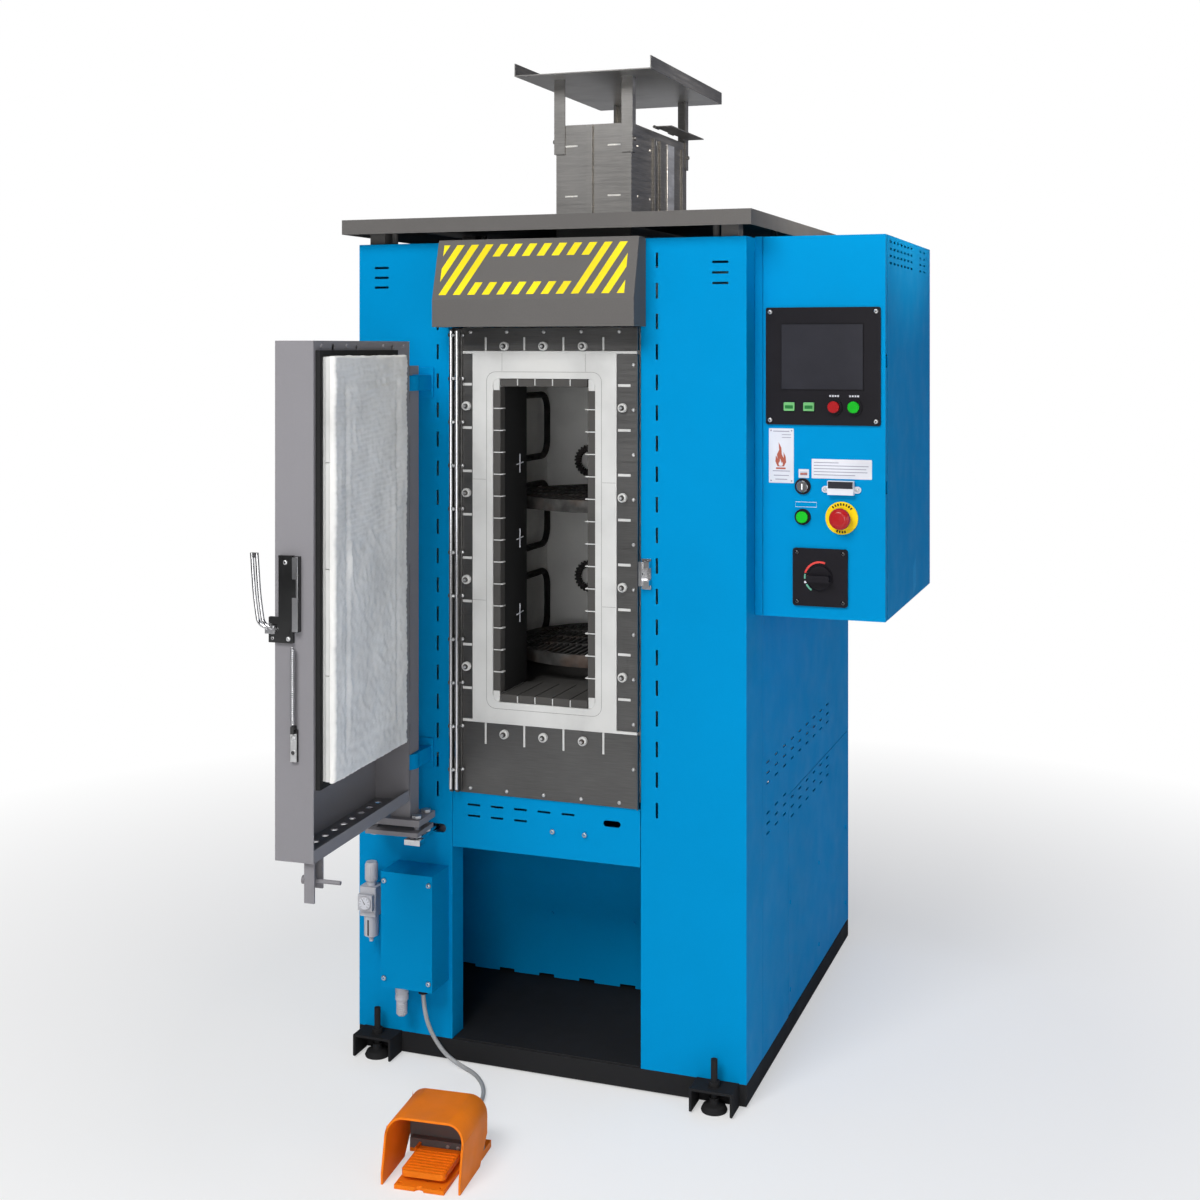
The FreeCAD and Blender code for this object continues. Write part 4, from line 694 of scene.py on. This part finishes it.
def blanket_height(x, z):
    """How far the blanket stands in or out at a place on its face."""
    from_edge = min(x - block_low.x, block_high.x - x, z - block_low.z, block_high.z - z)
    roll = -ROLL_DEEP * max(0.0, 1 - from_edge / ROLL_WIDE) ** 2
    groove = -STAMP_DEEP * math.exp(-((from_edge - STAMP_IN) / STAMP_WIDE) ** 2)
    lift = LIFT_HIGH * math.exp(-((from_edge - STAMP_IN - LIFT_IN) / LIFT_WIDE) ** 2)
    soft = noise.noise(Vector((x * 0.021, z * 0.017, 3.1))) * SOFT_HIGH
    rough = noise.noise(Vector((x * 0.085, z * 0.085, 9.2))) * ROUGH_HIGH
    lean = x * 0.62 + z if z < 1040 else z + x * 0.08
    sway = 2.2 * noise.noise(Vector((x * 0.02, z * 0.02, 5)))
    ribs = RIB_HIGH * math.sin(lean * 2 * math.pi / RIB_PITCH + sway)
    crease = 0.0
    for cx, cz, reach, angle, tall_by in CREASES:
        a = math.radians(angle)
        along = (x - cx) * math.cos(a) + (z - cz) * math.sin(a)
        aside = -(x - cx) * math.sin(a) + (z - cz) * math.cos(a) - 0.004 * along * along
        crease += tall_by * math.exp(-(along / reach) ** 2 - (aside / CREASE_WIDE) ** 2)
    return roll + groove + lift + soft + rough + ribs + crease - SETTLE


GRID, BULGE = 3.2, 2.5
blanket = Piece("door_blanket", AT_DOOR)
wide = round((block_high.x - block_low.x) / GRID)
high = round((block_high.z - block_low.z) / GRID)
rows = []
for i in range(high + 1):
    z = block_low.z + (block_high.z - block_low.z) * i / high
    row = []
    for k in range(wide + 1):
        x = block_low.x + (block_high.x - block_low.x) * k / wide
        row.append((x, block_high.y + min(BULGE, blanket_height(x, z)), z))
    rows.append(row)
face = blanket.grid(rows)
rim = face[0] + [row[-1] for row in face[1:]] + face[-1][-2::-1] + [row[0] for row in face[-2:0:-1]]


def pushed(v, y, out):
    """A rim point carried back to a depth, pushed outwards and roughened."""
    wave = out * (0.6 + 0.8 * noise.noise(Vector((v.x * 0.05, v.z * 0.05, y * 0.1))))
    at_side_x = 1 if v.x >= block_high.x - 0.01 else -1 if v.x <= block_low.x + 0.01 else 0
    at_side_z = 1 if v.z >= block_high.z - 0.01 else -1 if v.z <= block_low.z + 0.01 else 0
    return blanket.mesh.verts.new((v.x + wave * at_side_x, y, v.z + wave * at_side_z))


EDGE_LAYERS = ((block_high.y - 8.5, 1.6), (block_high.y - 11, 1.2), (BOARD_Y[2] + 0.2, 0.2))
layers = [rim] + [[pushed(v.co, y, out) for v in rim] for y, out in EDGE_LAYERS]
for near, far in zip(layers, layers[1:]):
    for k in range(len(near)):
        ahead = (k + 1) % len(near)
        blanket.mesh.faces.new((near[k], near[ahead], far[ahead], far[k]))
blanket.mesh.faces.new(layers[-1])
blanket.done("door", "fibre_block", smooth=60, stands_for=("door_block",))

hooks = Piece("board_hooks", AT_DOOR)
for k in range(BOARD_BLOCKS):
    z = block_low.z + tall * (k + 0.5)
    arc = [(block_high.x - 1 + 4.5 * math.sin(a), BOARD_Y[0] + 5, z + 7 * math.cos(a))
           for a in (math.radians(turn) for turn in range(0, 181, 20))]
    hooks.tube(arc, 0.9, 8)
hooks.done("door", "iron", slot="iron")

spring_low, spring_high = local_box("latch_spring", AT_DOOR)
SPRING_TURNS, SPRING_WIRE, TURN_STEPS = 40, 1.15, 14
spring_r = (spring_high.x - spring_low.x) / 2 - SPRING_WIRE
spring_mid = (spring_low + spring_high) / 2
helix = []
for k in range(SPRING_TURNS * TURN_STEPS + 1):
    a = 2 * math.pi * k / TURN_STEPS
    z = spring_low.z + 3 + (spring_high.z - spring_low.z - 6) * k / (SPRING_TURNS * TURN_STEPS)
    helix.append((spring_mid.x + spring_r * math.cos(a), spring_mid.y + spring_r * math.sin(a), z))
helix = [(spring_mid.x, spring_mid.y, spring_low.z), *helix, (spring_mid.x, spring_mid.y, spring_high.z)]
return_spring = Piece("return_spring", AT_DOOR).tube(helix, SPRING_WIRE, 7)
return_spring.done("door", "chrome", smooth=60, stands_for=("latch_spring",))

EDGE = local_box("door_shell", AT_DOOR)[1].x
strip, caps = Piece("latch_strip", AT_DOOR), Piece("latch_screws", AT_DOOR)
strip.block((EDGE + 11.6, -8.6, 899), (EDGE + 12.5, 1.6, 1021))
strip.done("door", "chrome", bevel=0.25, slot="chrome")
for y, z, x in ((-47, 886, 5), (-18, 886, 7), (-22, 1012, 9.4), (-9, 700, 6.2), (-9, 724, 6.0)):
    caps.lathe(dome(4.1, 2.4), (EDGE + x, y, z), "x", 18)
caps.block((EDGE + 5.8, -14.6, 684.4), (EDGE + 6.3, -3.4, 731))
caps.done("door", "zinc", smooth=50, slot="zinc")
bolts = Piece("hinge_bolt_heads", AT_DOOR)
for x in (-22, 22):
    for y in (-50, 34):
        for z in (448.9, 484.0):
            outline = [(x + u, y + v) for u, v in ring(9.9, 6, 0.3)]
            bolts.prism(outline, z, z + 6.1, lambda u, v, w: (u, v, w))
bolts.done("door", "zinc", bevel=0.6, slot="zinc")

# ---------------------------------------------------------------- furnace mouth: studs, washers, rails

fasteners = solids_of("front_fasteners")
heads, studs, nuts = Piece("plate_screws"), Piece("threaded_studs"), Piece("stud_nuts")
THREADS = 14
for low, top in fasteners:
    x, z, radius = (low.x + top.x) / 2, (low.z + top.z) / 2, (top.x - low.x) / 2
    if top.y - low.y < 6:
        heads.lathe(dome(radius, top.y - low.y), (x, top.y, z), "-y", 16)
        continue
    thread, reach = [(0, 0)], top.y - low.y
    for k in range(THREADS):
        h = reach * k / THREADS
        thread += [(2.35, h), (2.6, h + reach / (2 * THREADS))]
    studs.lathe(thread + [(2.2, reach), (0, reach)], (x, top.y, z), "-y", 14)
    turn = 0.5 * math.sin(x * 0.7 + z)
    for inner, outer, corners in ((-6.2, -3.2, ring(4.9, 6, turn)), (-6.9, -6.2, ring(6.4, 24))):
        outline = [(x + u, z + v) for u, v in corners]
        nuts.prism(outline, inner - low.y, outer - low.y, on_front(0))
heads.done("root", "zinc", smooth=50, stands_for=("front_fasteners",))
studs.done("root", "zinc", smooth=50, slot="zinc")
nuts.done("root", "iron", bevel=0.3, slot="iron")

washers = Piece("ceramic_spacers")
washer_boxes = solids_of("ceramic_washers")
for low, top in washer_boxes:
    x, z, r, deep = (low.x + top.x) / 2, (low.z + top.z) / 2, (top.x - low.x) / 2, top.y - low.y
    profile = [(3.6, 0), (r, 0), (r, deep - 1.6), (r - 0.5, deep - 0.5), (r - 1.6, deep),
               (5.4, deep), (4.2, deep - 0.4), (3.6, deep - 1.2), (3.6, 0)]
    washers.lathe(profile, (x, top.y, z), "-y", 28)
washers.done("root", "fibre", smooth=50, slot="fibre", stands_for=("ceramic_washers",))

plates_low = local_box("front_plates")[0]
PLATE_Y = -4.0
RAIL_Y, RAIL_TOP = plates_low.y + 2.2, 1396
rails = Piece("rail_tubes")
for x in (plates_low.x + 5, plates_low.x + 17):
    rails.tube([(x, RAIL_Y, plates_low.z + 8), (x, RAIL_Y, RAIL_TOP)], 3.4, 14)
rails.done("root", "chrome", smooth=60, slot="chrome")
clips = Piece("rail_clips")
for k in range(11):
    for x, y in ((11, 0.5), (25, 13)):
        clips.lathe(dome(3.4, 3.2), (plates_low.x + x, plates_low.y + y, 563 + 82.5 * k), "-y", 14)
clips.done("root", "zinc", smooth=50, slot="zinc")

frame_low = local_box("ceramic_frame")[0]
THROAT_HALF, THROAT_LOW, THROAT_HIGH = 103, 695, 1306
LINE, RIM = 0.25, 13
on_board = on_front(frame_low.y)
joints = Piece("frame_joint_lines")
opening = rounded_rectangle(-THROAT_HALF - RIM, THROAT_HALF + RIM, THROAT_LOW - RIM, THROAT_HIGH + RIM, 18)
band(joints, opening, 0.6, on_board, 0.02, 0.16)
for x in (-84, 84):
    joints.prism(rectangle(x - LINE, x + LINE, THROAT_HIGH + RIM + 1, 1354), 0.02, 0.14, on_board)
for z in (886, 1115):
    for x0, x1 in ((-144, -117), (117, 144)):
        joints.prism(rectangle(x0, x1, z - LINE, z + LINE), 0.02, 0.14, on_board)
joints.done("root", "grey_plastic", smooth=20, slot="grey_plastic")

side_studs = sorted({round((low.z + top.z) / 2, 1) for low, top in washer_boxes
                     if abs(low.x + top.x) > 250})
STUD_PITCH = side_studs[1] - side_studs[0]
mouth_middle = (side_studs[0] + side_studs[-1]) / 2
FILLER_Y = (PLATE_Y + 0.4, PLATE_Y + 2.6)
fillers = Piece("slot_fillers")
for s in (-1, 1):
    for k in range(8):
        z = mouth_middle + STUD_PITCH * (k - 3.5) / 2
        x0, x1 = sorted((s * 147.4, s * 171.6))
        fillers.block((x0, FILLER_Y[0], z - 2.4), (x1, FILLER_Y[1], z + 2.4))
for x in (-118.5, -39.5, 39.5, 118.5):
    for z0, z1 in ((1357.4, 1383.6), (613.4, 654.6)):
        fillers.block((x - 1.9, FILLER_Y[0], z0), (x + 1.9, FILLER_Y[1], z1))
fillers.done("root", "fibre", smooth=20, slot="fibre")

BLOCKS, BLOCK_LOW, BLOCK_HIGH, THROAT_WALL_HALF = 14, 710.0, 1291.0, THROAT_HALF - 15.0
PAD_Y, PAD_HALF = (frame_low.y + 1.6, frame_low.y + 14), 0.9
pads, throat_shade_sheet = Piece("throat_joint_pads"), Piece("throat_wall_painted_shade")
for s in (-1, 1):
    for k in range(1, BLOCKS):
        z = BLOCK_LOW + (BLOCK_HIGH - BLOCK_LOW) * k / BLOCKS
        x0, x1 = sorted((s * (THROAT_WALL_HALF - 5), s * (THROAT_HALF - 0.6)))
        pads.block((x0, PAD_Y[0], z - PAD_HALF), (x1, PAD_Y[1], z + PAD_HALF))
    # a near-black sheet over each side wall of the throat: painted shade on the walls
    x0, x1 = sorted((s * THROAT_WALL_HALF, s * (THROAT_WALL_HALF - 0.8)))
    throat_shade_sheet.block((x0, 16, BLOCK_LOW + 1), (x1, 123, BLOCK_HIGH - 1))
for k in range(1, 5):
    x = -88.5 + 177.0 * k / 5
    for z0, z1 in ((THROAT_LOW + 0.6, 708), (1293, THROAT_HIGH - 0.6)):
        pads.block((x - PAD_HALF, PAD_Y[0], z0), (x + PAD_HALF, PAD_Y[1], z1))
pads.done("root", "fibre", smooth=20, slot="fibre")
throat_shade_sheet.done("root", "gasket", smooth=20, slot="iron")

corner_bricks = Piece("throat_corner_bricks")
for s in (-1, 1):
    x0, x1 = sorted((s * 89.5, s * 102.5))
    for z0, z1 in ((1284, THROAT_HIGH - 0.6), (THROAT_LOW + 0.6, 716)):
        corner_bricks.block((x0, frame_low.y + 1.0, z0), (x1, 118, z1))
corner_bricks.done("root", "fibre", bevel=0.8, slot="fibre")

pins = Piece("throat_pins")
for z in (850, 995, 1140):
    pins.tube([(-86.4, 87, z - 18), (-86.2, 87, z + 18)], 1.1, 8)
    pins.tube([(-86.3, 72, z - 1.5), (-85.7, 102, z + 1.5)], 1.1, 8)
pins.done("root", "white_plastic", smooth=60, slot="chrome")

# ---------------------------------------------------------------- chamber: element loops and ribbed coils

LOOP_BAR, RING_R, RING_CORE = 7.0, 28.0, 5.2
COIL_R, COIL_BAR, COIL_TURNS, COIL_STEPS = 6.4, 2.1, 26, 12
loops, ribs = Piece("element_loops"), Piece("element_coils")
for low, top in solids_of("heating_elements"):
    centre = (low + top) / 2
    if top.x - low.x < 20:
        half_wide, half_high = (top.y - low.y) / 2 - LOOP_BAR, (top.z - low.z) / 2 - LOOP_BAR
        outline = rounded_rectangle(-half_wide, half_wide, -half_high, half_high, 36, 8)
        loop_path = [(centre.x + 0.8 * math.sin(u * 0.05), centre.y + u, centre.z + v) for u, v in outline]
        loops.tube(loop_path, LOOP_BAR, 14, closed=True)
        continue
    ring_path = [(centre.x + u, centre.y, centre.z + v) for u, v in ring(RING_R, 48)]
    ribs.tube(ring_path, RING_CORE, 10, closed=True)
    winding = []
    for k in range(COIL_TURNS * COIL_STEPS):
        a, b = 2 * math.pi * k / (COIL_TURNS * COIL_STEPS), 2 * math.pi * k / COIL_STEPS
        r = RING_R + COIL_R * math.cos(b)
        winding.append((centre.x + r * math.cos(a), centre.y + COIL_R * math.sin(b),
                        centre.z + r * math.sin(a)))
    ribs.tube(winding, COIL_BAR, 7, closed=True)
loops.done("root", "element", smooth=60, stands_for=("heating_elements",))
ribs.done("root", COIL_WIRE, smooth=60, slot="element")

# ---------------------------------------------------------------- control box: screen, labels, switch

FACE = local_box("control_door")[0].y
SWITCH, STOP = Vector((512, 951)), Vector((551, 1059))
# how far print, label plates and the ink on them stand off a face
PRINT, PAPER, INK = (0.02, 0.25), (0.02, 0.28), (0.29, 0.42)
screen_low, screen_high = local_box("touch_screen")

for side in ("left", "right"):
    key_low, key_high = local_box(side + "_key")
    lens = Piece(side + "_key_window")
    outline = rounded_rectangle(key_low.x + 2.4, key_high.x - 2.4, key_low.z + 4.0, key_high.z - 5.4, 0.8, 3)
    lens.prism(outline, 0.02, 0.35, on_front(key_low.y))
    lens.done(side + "_key_push", DARK_WINDOW, smooth=20, slot="green_plastic")

screen_edge = Piece("screen_edge")
outline = rectangle(screen_low.x - 0.6, screen_high.x + 0.6, screen_low.z - 0.6, screen_high.z + 0.6)
band(screen_edge, outline, 1.6, on_front(screen_low.y), -0.6, 0.5)
screen_edge.done("control_panel", "black_plastic", smooth=20, slot="black_plastic")
glass = Piece("screen_glass")
outline = rounded_rectangle(screen_low.x + 9, screen_high.x - 9, screen_low.z + 8, screen_high.z - 8, 1.5, 3)
glass.prism(outline, 0.02, 0.3, on_front(screen_low.y))
glass.done("control_panel", "screen", smooth=20, slot="screen")


def arc_mark(piece, centre, r0, r1, start, end, front, steps=10):
    """A flat mark between two radii and two angles in degrees."""
    turns = [math.radians(start + (end - start) * k / steps) for k in range(steps + 1)]
    outline = [(centre.x + r * math.cos(a), centre.y + r * math.sin(a))
               for r, angles in ((r1, turns), (r0, turns[::-1])) for a in angles]
    piece.prism(outline, *PRINT, on_front(front))


SWITCH_FACE = FACE - 5
red_arc, green_arc = Piece("switch_red_arc"), Piece("switch_green_marks")
white_mark = Piece("switch_white_mark")
arc_mark(red_arc, SWITCH, 26, 29.5, 70, 164, SWITCH_FACE)
arc_mark(green_arc, SWITCH, 26, 29, 168, 186, SWITCH_FACE)
arc_mark(green_arc, SWITCH, 26, 29, 208, 236, SWITCH_FACE)
white_mark.lathe([(2.3, 0.02), (2.3, 0.3), (0, 0.3)], (SWITCH.x - 26.5, SWITCH_FACE, SWITCH.y - 9), "-y", 16)
red_arc.done("control_panel", PRINT_RED, smooth=20, slot="red_plastic")
green_arc.done("control_panel", PRINT_GREEN, smooth=20, slot="green_plastic")
white_mark.done("control_panel", "white_plastic", smooth=20, slot="white_plastic")

screws, dark_screws = Piece("panel_screws"), Piece("switch_plate_screws")
for x in (420, 613):
    for z in (1233, 1429):
        screws.lathe(dome(4.3, 2.6), (x, FACE - 4, z), "-y", 20)
for x in (521, 580):
    screws.lathe(dome(3.4, 1.8), (x, FACE - 4.6, 1110), "-y", 18)
for x in (-42, 42):
    for z in (-44, 44):
        dark_screws.lathe(dome(4.1, 2.2), (SWITCH.x + x, SWITCH_FACE, SWITCH.y + z), "-y", 18)
screws.done("control_panel", "zinc", smooth=50, slot="zinc")
dark_screws.done("control_panel", "black_chrome", smooth=50, slot="black_chrome")
window = Piece("meter_window")
window.prism(rectangle(528, 573, 1112.5, 1125), 0.02, 0.5, on_front(FACE - 12))
window.done("control_panel", "screen", bevel=0.2, slot="screen")
ring_marks = Piece("stop_ring_marks")
for start in [*range(42, 138, 12), *range(-112, -68, 11)]:
    arc_mark(ring_marks, STOP, 22.5, 26.8, start, start + 6.5, FACE - 3, 2)
ring_marks.done("control_panel", "black_plastic", smooth=20, slot="black_plastic")
# thin paler-blue film over the side's bent tab: painted highlight
tab = Piece("side_tab_painted_highlight")
tab.prism([(361, 882), (394, 896), (394, 952), (361, 938)], 628.4, 629.1, lambda u, v, w: (w, u, v))
tab.done("root", BLUE_PAINTED_HIGHLIGHT, slot="blue_paint")

on_door = on_front(FACE)
papers, inks, lines = Piece("panel_labels"), Piece("label_bars"), Piece("panel_outline")
LABELS = {"poster": (417, 463, 1119, 1218), "wide": (496, 605, 1129, 1164), "small": (472, 491, 1129, 1145)}
for x0, x1, z0, z1 in LABELS.values():
    papers.prism(rounded_rectangle(x0, x1, z0, z1, 1.2, 3), *PAPER, on_door)
x0, x1, z0, z1 = LABELS["poster"]
for x, z in ((x0 + 4, z0 + 4), (x1 - 4, z0 + 4), (x0 + 4, z1 - 4), (x1 - 4, z1 - 4)):
    inks.prism([(x + u, z + v) for u, v in ring(1.5, 12)], *INK, on_door)
for z, inset in ((z1 - 6, 8), (z0 + 21, 7), (z0 + 13, 9), (z0 + 6, 12)):
    inks.prism(rectangle(x0 + inset, x1 - inset, z, z + 1.4), *INK, on_door)
for z in (z1 - 12, z1 - 17):
    inks.prism(rectangle(x0 + 24, x1 - 5, z, z + 1.1), *INK, on_door)
FLAME = [(-6, 0), (6, 0), (10, 8), (9, 18), (5, 26), (5.5, 15), (2, 22), (1, 34), (-4, 44), (-3, 30),
         (-7, 22), (-6, 14), (-9, 20), (-10, 9)]
flame = Piece("poster_flame")
flame.prism([(x0 + 22 + u, z0 + 30 + v) for u, v in FLAME], *INK, on_door)
flame.prism(rectangle(x0 + 13, x0 + 31, z0 + 25, z0 + 28), *INK, on_door)
flame.prism(rectangle(475, 488, 1135, 1138), *INK, on_door)
flame.done("control_panel", PRINT_BROWN, smooth=20, slot="red_plastic")
core = Piece("poster_flame_core")
core.prism([(x0 + 22 + 0.4 * u, z0 + 31 + 0.3 * v) for u, v in FLAME], 0.43, 0.5, on_door)
core.done("control_panel", "white_plastic", smooth=20, slot="white_plastic")
x0, x1, z0, z1 = LABELS["wide"]
for k, inset in enumerate((60, 6, 10, 8, 30)):
    z = z1 - 7 - 5.5 * k
    inks.prism(rectangle(x0 + 4, x1 - inset, z, z + 1.3), *INK, on_door)
x0, x1, z0, z1 = LABELS["small"]
for k in range(2):
    inks.prism(rectangle(x0 + 3, x1 - 3, z1 - 6 - 5 * k, z1 - 4.8 - 5 * k), *INK, on_door)
band(lines, rectangle(466, 505, 1076.5, 1086), 0.8, on_door, *PRINT)
for x in (538, 574):
    for k in range(4):
        left = x - 9 + 4.8 * k
        lines.prism(rectangle(left, left + 3.2, 1276, 1279.2), *PRINT, on_front(FACE - 4))
papers.done("control_panel", "white_plastic", smooth=20, slot="white_plastic")
inks.done("control_panel", PRINT_GREY, smooth=20, slot="grey_plastic")
lines.done("control_panel", "white_plastic", smooth=20, slot="white_plastic")

# ---------------------------------------------------------------- flue, junction box and foot switch fittings

slits = Piece("flue_slot_fillers")
for z in (1672, 1774):
    for x0, x1 in ((-62, -34), (30, 58)):
        slits.block((x0 + 0.3, 266.2, z - 1.7), (x1 - 0.3, 267.6, z + 1.7))
    for y in (300, 380):
        slits.block((79.6, y + 0.3, z - 1.7), (80.8, y + 8.7, z + 1.7))
slits.done("root", "fibre", smooth=20, slot="fibre")
cover = Piece("flue_access_cover")
cover.block((80.8, 500, 1614), (83, 548, 1800))
cover.done("root", "zinc", bevel=0.4, slot="stainless")
cap_low, cap_high = local_box("rain_cap")
# a near-white sheet under the rain cap: painted light from below
underside = Piece("cap_underside_painted_light")
underside.block((cap_low.x + 1.5, cap_low.y + 1.5, 1910.6), (cap_high.x - 1.5, cap_high.y - 1.5, 1911.1))
underside.done("root", CAP_PAINTED_LIGHT, slot="stainless")

box_screws = Piece("junction_box_screws")
for x in (-297, -204):
    for z in (172, 356):
        box_screws.lathe(dome(5.0, 3.4), (x, -75.2, z), "-y", 18)
for x in (17, 81):
    box_screws.lathe(dome(5.0, 3.4), (x, -2.6, 460), "-y", 18)
box_screws.done("root", "zinc", smooth=50, slot="zinc")

sleeve = [(0, 91), (7.2, 91), (8, 91.8), (8, 94.2), (10, 94.2), (10.5, 95)]
for k in range(6):
    z = 98 + 3.6 * k
    sleeve += [(10.5, z), (9.6, z + 0.7), (9.6, z + 1.5), (10.5, z + 2.2)]
sleeve += [(10.5, 120.4), (12, 121), (12.5, 122), (12.5, 130), (11.5, 131), (11.5, 133), (12.5, 134),
           (12.5, 154), (11.8, 154.9), (9.4, 155), (9.4, 162), (0, 162)]
coupling = Piece("air_coupling").lathe(sleeve, (-277, -40, 0), "z", 32)
coupling.done("root", "light_plastic", smooth=50, stands_for=("air_connector",))

wall_plate, wall_screws = Piece("foot_wall_plate", AT_FOOT), Piece("foot_wall_screws", AT_FOOT)
wall_plate.block((-60, 106.6, 12.3), (60, 120, 29))
wall_plate.done("root", "grey_plastic", bevel=0.6, slot="grey_plastic")
for x in (8, 26):
    wall_screws.lathe(dome(3.3, 1.5), (x, 106.6, 21), "-y", 16)
wall_screws.done("root", "zinc", smooth=50, slot="zinc")

# ---------------------------------------------------------------- gauge of the air regulator

GAUGE = Vector((-343, 305))
gauge_y = local_box("air_regulator")[0].y
dial, marks = Piece("gauge_dial"), Piece("gauge_marks")


def pointer(angle, r0, half0, r1, half1, low, high):
    """A flat bar along a radius of the gauge, with its half widths at both ends."""
    along = Vector((math.cos(math.radians(angle)), math.sin(math.radians(angle))))
    aside = Vector((along.y, -along.x))
    ends = ((r0, half0), (r1, half1), (r1, -half1), (r0, -half0))
    marks.prism([GAUGE + along * r + aside * half for r, half in ends], low, high, on_front(gauge_y))


bowl_window = Piece("bowl_sight_slot")
bowl_window.block((-344.6, -52.3, 238), (-341.4, -51.4, 268))
bowl_window.done("root", "screen", bevel=0.2, slot="black_plastic")
dial.lathe([(11.4, 0), (11.4, 0.3), (0, 0.3)], (GAUGE.x, gauge_y, GAUGE.y), "-y", 32)
for k in range(9):
    pointer(225 - 33.75 * k, 8, 0.35, 10.4, 0.35, 0.31, 0.45)
pointer(120, -2.5, 0.8, 9, 0.15, 0.5, 0.7)
dial.done("root", "white_plastic", smooth=20, slot="white_plastic")
marks.done("root", "black_plastic", smooth=20, slot="black_plastic")

low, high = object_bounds()
